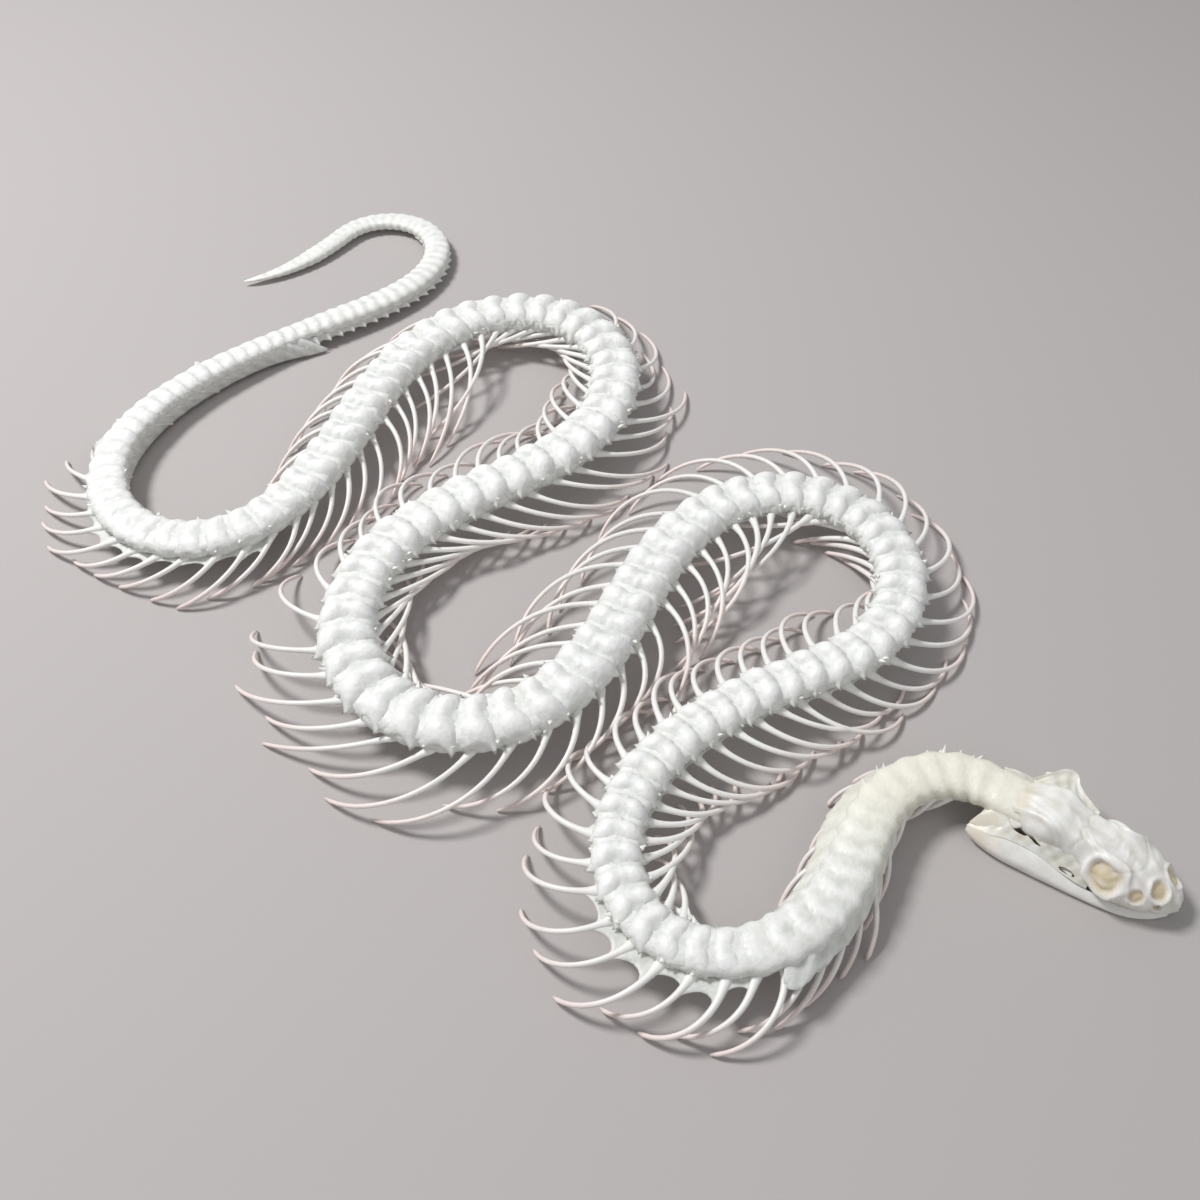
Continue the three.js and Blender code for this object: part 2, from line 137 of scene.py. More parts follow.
def spline(knots: Array, where: Array, closed: bool = False) -> Array:
    """Catmull-Rom curve through knots along the first axis.

    Between knots 1 and 2 the curve is half of (2 k1 + (k2 - k0) t + (2 k0 - 5 k1 + 4 k2 - k3)
    t^2 + (3 k1 - k0 - 3 k2 + k3) t^3).

    Args:
        knots: Points, one for each whole number of the parameter.
        where: The parameter, from 0 to the last knot, or once round if closed.
        closed: Whether the curve joins its own start.

    Returns:
        The points of the curve.
    """
    count = len(knots)
    whole = np.floor(where).astype(int)
    if not closed:
        whole = np.clip(whole, 0, count - 2)
    steps = [whole - 1, whole, whole + 1, whole + 2]
    picked = [s % count if closed else np.clip(s, 0, count - 1) for s in steps]
    k0, k1, k2, k3 = (knots[p] for p in picked)
    t = (where - whole).reshape((-1,) + (1,) * (knots.ndim - 1))
    return 0.5 * (
        2 * k1
        + (k2 - k0) * t
        + (2 * k0 - 5 * k1 + 4 * k2 - k3) * t**2
        + (3 * k1 - k0 - 3 * k2 + k3) * t**3
    )


# ------------------------------------------------------------------ closed shells


@dataclass
class Shell:
    """A closed surface in millimetres, with named values on its points."""

    points: Array
    quads: Array
    triangles: Array
    values: dict[str, Array] = field(default_factory=dict)

    @staticmethod
    def join(shells: list[Shell]) -> Shell:
        """Puts several shells into one.

        Args:
            shells: Shells that carry the same named values.

        Returns:
            One shell with all their points and faces.
        """
        starts = np.cumsum([0] + [len(s.points) for s in shells])
        names = shells[0].values.keys()
        return Shell(
            np.concatenate([s.points for s in shells]),
            np.concatenate([s.quads + n for s, n in zip(shells, starts)]),
            np.concatenate([s.triangles + n for s, n in zip(shells, starts)]),
            {k: np.concatenate([s.values[k] for s in shells]) for k in names},
        )

    def facing_out(self) -> Shell:
        """Turns every face over if the volume that the faces enclose is below nothing.

        Returns:
            This same shell.
        """
        q = self.quads
        corners = np.concatenate([self.triangles, q[:, [0, 1, 2]], q[:, [0, 2, 3]]])
        a, b, c = (self.points[corners[:, k]] for k in range(3))
        if np.einsum("ij,ij->", a, np.cross(b, c)) < 0:
            self.quads = self.quads[:, ::-1]
            self.triangles = self.triangles[:, ::-1]
        return self


def tube(rings: Array, values: dict[str, Array]) -> Shell:
    """Closed shells through rings of points, each end closed round a middle point.

    Args:
        rings: Points as copies x rings x points around x 3, or without the copies.
        values: Named values of the same shape without the last axis.

    Returns:
        One shell that holds every copy.
    """
    rings = rings if rings.ndim == 4 else rings[None]
    copies, length, around, _ = rings.shape
    ring, spoke = np.meshgrid(np.arange(length - 1), np.arange(around), indexing="ij")
    a = ring * around + spoke
    b = ring * around + (spoke + 1) % around
    quads = np.stack([a, b, b + around, a + around], -1).reshape(-1, 4)
    edge = np.arange(around)
    after = (edge + 1) % around
    first = np.full(around, length * around)
    front = np.stack([first, after, edge], -1)
    last_ring = (length - 1) * around
    rear = np.stack([first + 1, last_ring + edge, last_ring + after], -1)
    triangles = np.concatenate([front, rear])
    each = length * around + 2
    shift = (np.arange(copies) * each)[:, None, None]

    def with_ends(grid: Array) -> Array:
        """Adds the mean of each end ring after a copy's own points.

        Args:
            grid: Values as copies x rings x points around, and maybe more.

        Returns:
            One row of values for each copy.
        """
        flat = grid.reshape(copies, length * around, -1)
        ends = np.stack([grid[:, 0].mean(1), grid[:, -1].mean(1)], 1)
        return np.concatenate([flat, ends.reshape(copies, 2, -1)], 1)

    kept = {}
    for name, grid in values.items():
        kept[name] = with_ends(grid.reshape(copies, length, around, 1)).reshape(-1)
    return Shell(
        with_ends(rings).reshape(-1, 3),
        (quads + shift).reshape(-1, 4),
        (triangles + shift).reshape(-1, 3),
        kept,
    ).facing_out()


def sheet(top: Array, thickness: float, values: dict[str, Array]) -> Shell:
    """A thin closed shell under a grid of points, thickness lower all over.

    Args:
        top: Points as rows x columns x 3.
        thickness: How far the lower face lies under the upper one.
        values: Named values on the grid.

    Returns:
        The closed shell.
    """
    drop = np.zeros_like(top)
    drop[..., 2] = thickness
    rings = np.concatenate([top, (top - drop)[:, ::-1]], 1)
    doubled = {k: np.concatenate([v, v[:, ::-1]], 1) for k, v in values.items()}
    return tube(rings, doubled)


def pierced_sheet(top: Array, thickness: float, kept: Array, values: dict[str, Array]) -> Shell:
    """A thin closed shell under a grid of points, with holes where cells are left out.

    Args:
        top: Points as rows x columns x 3.
        thickness: How far the lower face lies under the upper one.
        kept: Which cells of the grid are there, one row and column fewer.
        values: Named values on the grid.

    Returns:
        The closed shell, with a wall along every rim.
    """
    number = np.arange(top[..., 0].size).reshape(top.shape[:2])
    corners = (number[:-1, :-1], number[1:, :-1], number[1:, 1:], number[:-1, 1:])
    cells = np.stack(corners, -1)[kept]
    under = number.size
    edges = np.concatenate([cells[:, [k, (k + 1) % 4]] for k in range(4)])
    names = edges @ [2 * under, 1]
    other_way = edges[:, ::-1] @ [2 * under, 1]
    rim = edges[~np.isin(names, other_way)]
    walls = np.concatenate([rim[:, ::-1], rim + under], 1)
    faces = np.concatenate([cells, cells[:, ::-1] + under, walls])
    used, faces = np.unique(faces, return_inverse=True)
    points = np.concatenate([top.reshape(-1, 3), top.reshape(-1, 3) - [0, 0, thickness]])
    doubled = {k: np.tile(np.ravel(v), 2)[used] for k, v in values.items()}
    no_triangles = np.zeros((0, 3), int)
    return Shell(points[used], faces.reshape(-1, 4), no_triangles, doubled).facing_out()


def bar(centres: Array, wide: Array, high: Array, around: int) -> tuple[Array, Array]:
    """Rings of an oval bar along a middle line.

    Each point is the centre plus the level direction across times the half width and the
    direction over the bar times the half height, by the cosine and sine of the turn.

    Args:
        centres: Points of the middle line.
        wide: Half width at each point.
        high: Half height at each point.
        around: Points in a ring.

    Returns:
        The rings, and the share of the length at each of their points.
    """
    along = np.gradient(centres, axis=0)
    along /= np.linalg.norm(along, axis=1)[:, None]
    across = np.cross(np.array([0.0, 0.0, 1.0]), along)
    across /= np.maximum(np.linalg.norm(across, axis=1), 1e-6)[:, None]
    over = np.cross(along, across)
    turn = np.arange(around) / around * FULL_TURN
    rings = (
        centres[:, None]
        + across[:, None] * (wide[:, None] * np.cos(turn))[..., None]
        + over[:, None] * (high[:, None] * np.sin(turn))[..., None]
    )
    share = np.broadcast_to(np.linspace(0, 1, len(centres))[:, None], rings.shape[:2])
    return rings, share


def make_piece(
    name: str, shell: Shell, material: bpy.types.Material, stands_for: list[str]
) -> bpy.types.Object:
    """Makes a Blender object from a shell, and ties it to the frame.

    Args:
        name: The piece's name.
        shell: Its surface, in millimetres.
        material: Its finish.
        stands_for: CAD nodes that it replaces.

    Returns:
        The object, at the origin.
    """
    mesh = bpy.data.meshes.new(name)
    corners = np.concatenate([shell.quads.reshape(-1), shell.triangles.reshape(-1)])
    totals = np.concatenate([np.full(len(shell.quads), 4), np.full(len(shell.triangles), 3)])
    starts = np.concatenate([[0], np.cumsum(totals)[:-1]])
    mesh.vertices.add(len(shell.points))
    mesh.vertices.foreach_set("co", (shell.points * MILLIMETRE).astype(np.float32).ravel())
    mesh.loops.add(len(corners))
    mesh.loops.foreach_set("vertex_index", corners.astype(np.int32))
    mesh.polygons.add(len(totals))
    mesh.polygons.foreach_set("loop_start", starts.astype(np.int32))
    mesh.polygons.foreach_set("loop_total", totals.astype(np.int32))
    mesh.polygons.foreach_set("use_smooth", np.ones(len(totals), bool))
    mesh.update(calc_edges=True)
    for key, value in shell.values.items():
        layer = mesh.attributes.new(key, "FLOAT", "POINT")
        layer.data.foreach_set("value", value.astype(np.float32))
    mesh.materials.append(material)
    piece = bpy.data.objects.new(name, mesh)
    bpy.context.scene.collection.objects.link(piece)
    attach(piece, "root")
    if stands_for:
        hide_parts(*stands_for)
    LOG.info("%s: %d faces", name, len(totals))
    return piece


# ------------------------------------------------------------------ finishes


@dataclass(frozen=True)
class Finish:
    """A dry matte surface whose colour follows a value on the mesh, which mostly holds painted
    light and shade, and two noises.
    """

    name: str
    low_colour: tuple[float, float, float]
    high_colour: tuple[float, float, float]
    stain_colour: tuple[float, float, float]
    # By default the colour follows a value of painted light and shade, and the plain tone of a few
    # pieces.
    value_name: str = "painted_shading_and_tone"
    stain_name: str = "stain"
    roughness: tuple[float, float] = (0.42, 0.62)
    mottle_scale: float = 700.0
    mottle_strength: float = 0.7
    grain_scale: float = 5200.0
    grain_depth: float = 0.00004
    grain_strength: float = 0.35
    glow: float = 0.12
    mottle_detail: float = 4.0
    grain_detail: float = 3.0
    glow_colour: tuple[float, float, float] = (1.0, 0.85, 0.7)
    glow_depth: float = 0.0008

    def material(self) -> bpy.types.Material:
        """Builds the node tree: value to colour, mottling, stain, grain bump and gloss.

        The colour runs from low to high by the value on the mesh plus (a noise - 0.5) times
        its strength, held to 0 and 1. The stain's value then mixes in the stain's colour.

        Returns:
            The material.
        """
        made = bpy.data.materials.new(self.name)
        made.use_nodes = True
        tree = made.node_tree

        def feed(node: bpy.types.Node, inputs: dict) -> None:
            """Sets a node's inputs, by a link where the value is another node's output."""
            for key, value in inputs.items():
                if isinstance(value, bpy.types.NodeSocket):
                    tree.links.new(value, node.inputs[key])
                else:
                    node.inputs[key].default_value = value

        def add(kind: str, output: str | int, inputs: dict, **settings) -> bpy.types.NodeSocket:
            """Adds a node.

            Args:
                kind: The node's type.
                output: The name or number of the output that is used.
                inputs: Values or links for its inputs.
                settings: Values for its own settings.

            Returns:
                The output.
            """
            node = tree.nodes.new(f"ShaderNode{kind}")
            for key, value in settings.items():
                setattr(node, key, value)
            feed(node, inputs)
            return node.outputs[output]

        place = add("TexCoord", "Object", {})
        level = add("Attribute", "Fac", {}, attribute_name=self.value_name)
        spot = add("Attribute", "Fac", {}, attribute_name=self.stain_name)
        look = {"Vector": place, "Scale": self.mottle_scale, "Detail": self.mottle_detail}
        mottle = add("TexNoise", "Fac", look)
        swing = {0: mottle, 1: self.mottle_strength, 2: -self.mottle_strength / 2}
        wander = add("Math", 0, swing, operation="MULTIPLY_ADD")
        shade = add("Math", 0, {0: level, 1: wander}, operation="ADD", use_clamp=True)
        ends = {"Factor": shade, "A": (*self.low_colour, 1), "B": (*self.high_colour, 1)}
        tone = add("Mix", "Result", ends, data_type="RGBA")
        ends = {"Factor": spot, "A": tone, "B": (*self.stain_colour, 1)}
        tint = add("Mix", "Result", ends, data_type="RGBA")
        limits = {"To Min": self.roughness[0], "To Max": self.roughness[1]}
        gloss = add("MapRange", "Result", {"Value": mottle, **limits})
        look = {"Vector": place, "Scale": self.grain_scale, "Detail": self.grain_detail}
        grain = add("TexNoise", "Fac", look)
        relief = {"Strength": self.grain_strength, "Distance": self.grain_depth}
        bump = add("Bump", "Normal", {"Height": grain, **relief})
        feed(made.node_tree.nodes["Principled BSDF"], {
            "Base Color": tint,
            "Roughness": gloss,
            "Normal": bump,
            "Subsurface Weight": self.glow,
            "Subsurface Radius": self.glow_colour,
            "Subsurface Scale": self.glow_depth,
        })
        return made


# Its low colour is painted shade in the hollows and under the vertebrae, its high colour a painted
# highlight on the domes.
VERTEBRA_FINISH = Finish(
    "vertebra_bone",
    low_colour=(0.66, 0.67, 0.63),
    high_colour=(0.97, 0.97, 0.95),
    stain_colour=(0.90, 0.87, 0.72),
    roughness=(0.34, 0.55),
    mottle_scale=900.0,
    mottle_strength=1.2,
    grain_scale=1500.0,
    grain_depth=0.00026,
    grain_strength=0.5,
)
# The ribs run from white at the root to a pink at the tips, a painted red reflection.
RIB_FINISH = Finish(
    "rib_bone",
    low_colour=(0.92, 0.91, 0.88),
    high_colour=(0.87, 0.70, 0.66),
    stain_colour=(0.72, 0.66, 0.52),
    value_name="tip",
    roughness=(0.32, 0.5),
    mottle_scale=900.0,
    grain_strength=0.2,
)
# Its low colour is painted shade in the ligament's folds and underside and in the skirts' dips; its
# high colour painted light on their tops and ridges.
TISSUE_FINISH = Finish(
    "dried_ligament",
    low_colour=(0.60, 0.61, 0.56),
    high_colour=(0.95, 0.95, 0.92),
    stain_colour=(0.93, 0.89, 0.72),
    roughness=(0.3, 0.55),
    mottle_scale=800.0,
    mottle_strength=1.1,
    grain_scale=1600.0,
    grain_depth=0.00022,
    grain_strength=0.5,
    glow=0.2,
)
# Its low colour is painted shade in the sheets' sagging middles and ripple troughs; its high colour
# painted light on the ripple crests.
DRY_SKIN_FINISH = Finish(
    "dried_skin",
    low_colour=(0.64, 0.59, 0.45),
    high_colour=(0.93, 0.92, 0.86),
    stain_colour=(0.84, 0.79, 0.60),
    roughness=(0.28, 0.5),
    mottle_scale=600.0,
    mottle_strength=1.0,
    grain_scale=2200.0,
    grain_depth=0.0001,
    grain_strength=0.5,
    glow=0.25,
)
# Its low colour is painted shade low on the cranium's sides and between lumps, and also the dark of
# the seams; its high colour painted light on the lumps.
SKULL_FINISH = Finish(
    "skull_bone",
    low_colour=(0.62, 0.59, 0.49),
    high_colour=(0.94, 0.93, 0.90),
    stain_colour=(0.70, 0.56, 0.32),
    roughness=(0.25, 0.5),
    mottle_scale=520.0,
    mottle_strength=1.1,
    grain_scale=2400.0,
    grain_depth=0.0001,
)


# ------------------------------------------------------------------ backbone


@dataclass
class Backbone:
    """The curve that the backbone follows over the floor, from the skull to the tail.

    Distances are along the curve, and the turn rate is in degrees for each of them. Growth
    and tapers are an amount, where it starts and over what distance it comes.
    """

    length: float = 583.0
    start: tuple[float, float] = (58.88, -52.84)
    start_heading: float = 145.0
    step: float = 0.25
    turn_rate: Rows = (
        (0, 6.8), (14, 4.5), (26, -1.8), (53, -5.3), (79, -1.9), (105, -0.2), (111, 2.8),
        (152, 4.0), (198, -1.0), (217, -3.8), (250, -2.7), (275, -1.2), (292, 1.4),
        (340, 3.8), (408, -1.8), (415, -4.4), (445, -2.7), (480, -0.7), (500, -0.2),
        (518, 2.2), (545, 5.4), (556, 6.6), (561, -0.7), (583, -3.3),
    )
    height: Rows = (
        (0, 4.6), (40, 5.6), (200, 6.2), (380, 6.0), (440, 5.0), (492, 3.2), (583, 1.0),
    )
    first_vertebra: float = -1.7
    last_margin: float = 3.0
    end_gap: float = 0.3
    tip_length: float = 15.0
    tip_power: float = 0.6
    least_tip: float = 0.02
    tail_fullness: float = 0.10
    fullness_over: float = 20.0
    neck_pitch: float = 2.9
    body_growth: tuple[float, float, float] = (1.3, 0.0, 210.0)
    rear_taper: tuple[float, float, float] = (1.9, 365.0, 150.0)
    tail_taper: tuple[float, float, float] = (0.7, 500.0, 83.0)
    neck_end: float = 24.0
    trunk_end: float = 491.0
    trunk_lengths: int = 11
    tail_lengths: int = 3

    def __post_init__(self) -> None:
        """Adds up the turning into headings and the headings into points."""
        s = np.arange(0, self.length + 2 * self.step, self.step)
        rates = read_rows(np.array(self.turn_rate), s)
        turned = np.concatenate([[0], np.cumsum((rates[1:] + rates[:-1]) / 2 * self.step)])
        heading = np.radians(self.start_heading + turned)
        middle = (heading[1:] + heading[:-1]) / 2
        moves = np.stack([np.cos(middle), np.sin(middle)], 1) * self.step
        places = np.concatenate([[[0, 0]], np.cumsum(moves, 0)]) + np.array(self.start)
        self.samples, self.headings, self.places = s, heading, places
        self.stations = self.vertebra_stations()
        self.pitches = self.pitch(self.stations)

    def frame(self, s: Array) -> tuple[Array, Array, Array]:
        """The middle of the backbone and its directions.

        Args:
            s: Distances from the skull; below 0 the curve goes straight on.

        Returns:
            Points, directions to the tail and directions to the right side.
        """
        s = np.asarray(s, float)
        heading = np.interp(s, self.samples, self.headings)
        along = np.stack([np.cos(heading), np.sin(heading), 0 * heading], -1)
        right = np.stack([-np.sin(heading), np.cos(heading), 0 * heading], -1)
        flat = [np.interp(s, self.samples, self.places[:, k]) for k in range(2)]
        point = np.stack([*flat, read_rows(np.array(self.height), s)], -1)
        return point + along * np.minimum(s, 0)[..., None], along, right

    def pitch(self, s: Array | float) -> Array:
        """Spacing of the vertebrae at a distance.

        Args:
            s: Distances from the skull.

        Returns:
            The neck's spacing, plus the growth of the body, less both tapers.
        """
        s = np.asarray(s, float)
        sizes = self.neck_pitch
        changes = ((1, self.body_growth), (-1, self.rear_taper), (-1, self.tail_taper))
        for sign, (amount, start, over) in changes:
            sizes = sizes + sign * amount * smooth((s - start) / over)
        return sizes

    def girth(self, s: Array) -> Array:
        """How thick the backbone is for its pitch: fuller on the tail, down to a point.

        Args:
            s: Distances from the skull.

        Returns:
            1 plus the tail's fullness, times the share of the tip that is left to a power.
        """
        fuller = 1 + self.tail_fullness * smooth((s - self.trunk_end) / self.fullness_over)
        left = np.clip((self.length - self.end_gap - s) / self.tip_length, self.least_tip, 1)
        return fuller * left**self.tip_power

    def vertebra_stations(self) -> Array:
        """Distances of the vertebrae.

        Returns:
            The distances, each one pitch after the last, until the margin at the end.
        """
        places = [self.first_vertebra]
        while True:
            after = places[-1] + float(self.pitch(places[-1]))
            if after > self.length - self.last_margin:
                return np.array(places)
            places.append(after)

    def phase(self, s: Array) -> Array:
        """The number of the vertebra at a distance, with a fraction between two of them."""
        return np.interp(s, self.stations, np.arange(len(self.stations)))

    def lengths(self) -> list[tuple[str, float, float, bool]]:
        """The lengths that the body is divided into.

        Returns:
            For each length its name, where it starts, where it ends, and if it has ribs.
        """
        rows = [("neck", self.first_vertebra, self.neck_end, True)]
        for form, start, end, count, ribbed in (
            ("trunk_{:02d}", self.neck_end, self.trunk_end, self.trunk_lengths, True),
            ("tail_{}", self.trunk_end, self.length, self.tail_lengths, False),
        ):
            edges = np.linspace(start, end, count + 1)
            for number in range(count):
                name = form.format(number + 1)
                rows.append((name, edges[number], edges[number + 1], ribbed))
        return rows


# ------------------------------------------------------------------ vertebrae


@dataclass
class Vertebrae:
    """Bones of the backbone, each a row of rings from front to back, in shares of the pitch.

    A row of the outline is a place along, the half width, the arch over the middle and the
    depth of the underside. The relief is full in one band of the body and calmer outside it.
    Variations are the largest shares by which a bone differs from its neighbours.
    """

    backbone: Backbone
    outline: Rows = (
        (-0.52, 0.46, 0.18, 0.16), (-0.47, 0.72, 0.28, 0.28), (-0.40, 0.96, 0.33, 0.34),
        (-0.33, 1.19, 0.35, 0.36), (-0.25, 1.05, 0.37, 0.36), (-0.14, 0.97, 0.38, 0.36),
        (-0.02, 0.92, 0.39, 0.36), (0.10, 0.90, 0.40, 0.37), (0.22, 0.94, 0.40, 0.38),
        (0.33, 0.98, 0.40, 0.38), (0.43, 0.95, 0.37, 0.38), (0.52, 0.86, 0.33, 0.36),
        (0.60, 0.68, 0.26, 0.32), (0.65, 0.42, 0.16, 0.24),
    )
    across: int = 18
    under: int = 6
    shoulder: float = 0.98
    edge: float = 0.07
    dome_middle: tuple[float, float] = (0.01, 0.55)
    dome_way: tuple[float, float] = (-0.42, 0.91)
    dome_reach: tuple[float, float] = (0.60, 0.42)
    dome_height: float = 0.27
    dome_power: float = 0.8
    spine_height: float = 0.13
    spine_width: float = 0.09
    spine_band: tuple[float, float, float, float] = (-0.25, 0.2, 0.4, 0.2)
    side_power: float = 2.2
    top_power: float = 0.6
    belly_power: float = 0.5
    full_relief: tuple[float, float, float, float] = (38.0, 26.0, 396.0, 26.0)
    calm_relief: float = 0.6
    calm_wings: float = 0.8
    wing_size: float = 0.98
    length_variation: float = 0.02
    width_variation: float = 0.03
    side_variation: float = 0.04
    height_variation: float = 0.05
    neck_fade: tuple[float, float] = (10.0, 26.0)
    neck_sink: float = 0.2
    neck_stain: float = 0.45

    def shell(self, chosen: Array) -> Shell:
        """Bones of the chosen vertebrae.

        On top, the height is an arch, times (1 - share across to the power 2.2) to the
        power 0.6, plus on each side a dome over an oval that points to the wing, times
        (1 - squared share of the oval) to the power 0.8, plus a low spine in the middle.
        Points bend with the backbone: a point's own distance along the curve gives the
        place that its side and height are set off from, and the girth that sizes them.

        Args:
            chosen: Numbers of the vertebrae.

        Returns:
            One shell of all of them, with a value from 0 in hollows to 1 on domes, which paints
            shade into the hollows and under the bone and a highlight onto the domes and spine.
        """
        rows = np.array(self.outline)
        top_side = np.linspace(1, -1, self.across + 1)
        low_side = np.linspace(-1, 1, self.under + 2)[1:-1]
        share = np.concatenate([top_side, low_side])[None, :]
        is_top = np.arange(share.shape[1])[None, :] <= self.across
        x, half, arch, belly = (column[:, None] for column in rows.T)
        s = self.backbone.stations[chosen][:, None, None]
        calm = 1 - band(s, *self.full_relief)
        past_wing = np.maximum(half - self.wing_size, 0)
        half = np.minimum(half, self.wing_size) + past_wing * (1 - self.calm_wings * calm)
        y = half * share
        inside = 1 - np.minimum(np.abs(y) / self.shoulder, 1) ** self.side_power
        way = np.array(self.dome_way) / np.linalg.norm(self.dome_way)
        ahead, aside = x - self.dome_middle[0], np.abs(y) - self.dome_middle[1]
        oval = ((ahead * way[0] + aside * way[1]) / self.dome_reach[0]) ** 2
        oval = oval + ((ahead * way[1] - aside * way[0]) / self.dome_reach[1]) ** 2
        dome = np.maximum(1 - oval, 0) ** self.dome_power
        spine = hump(y, self.spine_width) * band(x, *self.spine_band)
        rim = self.edge * (1 - share**2)
        relief = 1 - self.calm_relief * calm
        raised = relief * (self.dome_height * dome + self.spine_height * spine)
        top = arch * inside**self.top_power + rim + raised
        z = np.where(is_top, top, -belly * inside**self.belly_power - rim)
        own, hand = (wobble(chosen, salt)[:, None, None] for salt in (3, 4))
        pitch = self.backbone.pitches[chosen][:, None, None]
        stretched = s + x * pitch * (1 + self.length_variation * own)
        point, _, right = self.backbone.frame(stretched)
        pitch = pitch * self.backbone.girth(s + x * pitch)
        uneven = 1 + self.width_variation * own + self.side_variation * hand * np.sign(y)
        world = point + right * (y * pitch * uneven)[..., None]
        neck = falling(s, *self.neck_fade)
        taller = 1 + self.height_variation * hand
        world[..., 2] += z * pitch * taller * (1 - self.neck_sink * neck)
        world[..., 2] = np.maximum(world[..., 2], FLOOR_GAP)
        # Painted highlight on the domes and spine, painted shade in the hollows and under the bone.
        painted_shading_and_tone = np.clip(0.38 + 0.6 * dome + 0.4 * spine - 0.2 * ~is_top, 0, 1)
        painted_shading_and_tone = np.broadcast_to(painted_shading_and_tone, world.shape[:-1])
        return tube(world, {"painted_shading_and_tone": painted_shading_and_tone, "stain": self.neck_stain * neck + 0 * painted_shading_and_tone})


# ------------------------------------------------------------------ ribs


@dataclass
class Ribs:
    """Ribs of both sides, each in a plane tilted until its lowest point meets the floor.

    The knob is a height, how far from the tip it is and its width. The painted red
    reflection of the tips is where it starts and how deep it gets.
    A posture's row is a distance along the backbone, a length, the sweep at the root, the
    sweep at the tip and the droop, with the angles in degrees.
    """

    backbone: Backbone
    first: float = 4.0
    last: float = 489.0
    steps: int = 18
    around: int = 6
    root_out: float = 0.45
    root_drop: float = 0.25
    curl_power: float = 1.2
    hug_from: float = 50.0
    hug_over: float = 20.0
    steadying: float = 0.7
    steepest_rise: float = math.radians(-17)
    steepest_fall: float = math.radians(69)
    covered: float = 0.5
    flare_length: float = 0.9
    flare_width: float = 0.42
    flare_height: float = 0.4
    knob: tuple[float, float, float] = (0.09, 0.25, 0.5)
    end_share: float = 0.45
    length_variation: float = 0.08
    root_variation: float = 6.0
    tip_variation: float = 12.0
    thick_variation: tuple[float, float] = (0.94, 0.12)
    # Where the tips' painted red reflection starts, as a share of the length, and how deep it gets.
    painted_tip_reflection: tuple[float, float] = (0.25, 0.8)
    radii: Rows = ((0.0, 0.44), (0.25, 0.40), (0.8, 0.33), (1.0, 0.27))
    right_posture: Rows = (
        (0, 5, 50, 100, 40), (34, 14, 45, 108, 36), (38, 15, 25, 130, 25), (58, 16, -5, 110, 35),
        (68, 16.5, 5, 130, 30), (82, 16.5, 10, 125, 28), (92, 17, -5, 125, 22),
        (108, 17.5, -5, 105, 26), (118, 15, 45, 110, 40), (126, 15, 66, 98, 45),
        (138, 16, 66, 96, 45), (146, 24, 30, 90, 45), (152, 27, 5, 100, 45), (158, 27, 5, 110, 45),
        (182, 20, 15, 110, 35), (190, 17, 25, 120, 30), (198, 18, 35, 140, 30),
        (216, 24, 30, 150, 25), (226, 21.5, 50, 105, 20), (244, 20.5, 0, 105, 35),
        (254, 21, 35, 130, 25), (266, 20.5, 15, 115, 25), (290, 21, 10, 110, 18),
        (318, 20, 30, 105, 30), (335, 18, 40, 100, 45), (345, 22, 30, 95, 45),
        (352, 28, 12, 92, 55), (360, 28, 25, 85, 55), (374, 22, 30, 110, 40),
        (390, 17.5, 35, 110, 30), (404, 17, 45, 130, 30), (425, 14, 30, 120, 22),
        (441, 15, 32, 80, 12), (450, 12, 50, 100, 40), (456, 8, 60, 95, 40), (490, 5, 60, 95, 40),
    )
    left_posture: Rows = (
        (0, 5, 45, 100, 40), (18, 10, 25, 112, 34), (34, 12, 52, 100, 40), (46, 13, 60, 98, 45),
        (51, 13, 10, 80, 40), (67, 16.5, 0, 125, 24), (84, 18.5, -5, 108, 15),
        (90, 19.5, 10, 124, 24), (106, 18, 25, 142, 15), (128, 21, 22, 138, 13),
        (134, 22.5, 30, 120, 20), (152, 21.5, 18, 106, 28), (166, 21.5, 24, 122, 38),
        (173, 22.5, 36, 119, 42), (182, 26, 25, 112, 34), (190, 24, 26, 86, 27),
        (200, 20, 16, 92, 35), (205, 16, 28, 75, 38), (217, 19, 46, 35, 30),
        (233, 21.5, 35, 76, 28),
        (256, 22, 42, 92, 22), (268, 22.5, 26, 125, 20), (290, 22, 26, 125, 19),
        (300, 20, 42, 125, 16), (320, 19.5, 30, 128, 10), (338, 18, 45, 104, 28),
        (355, 17.5, 45, 98, 28), (374, 16.5, 26, 98, 35), (388, 16.5, 28, 93, 35),
        (398, 12, 55, 98, 42), (408, 7.5, 72, 112, 45), (490, 5, 72, 110, 45),
    )

    def posture(self, s: float, side: Side) -> Array:
        """Length, sweep at the root, sweep at the tip and droop of a rib at a distance."""
        rows = np.array(self.right_posture if side is Side.RIGHT else self.left_posture)
        return np.array([float(read_rows(rows, s, k)) for k in (1, 2, 3, 4)])

    def radius(self, u: Array) -> Array:
        """Half thickness of a rib at a share of its length."""
        return read_rows(np.array(self.radii), u)

    @staticmethod
    def solve(rising: Callable[[float], float], goal: float, low: float, high: float) -> float:
        """Halves a range until a rising function meets its goal.

        Args:
            rising: The function.
            goal: The value that it has to reach.
            low: Where the range starts.
            high: Where it ends.

        Returns:
            The middle of what is left of the range.
        """
        for _ in range(HALVINGS):
            middle = (low + high) / 2
            low, high = (middle, high) if rising(middle) < goal else (low, middle)
        return (low + high) / 2

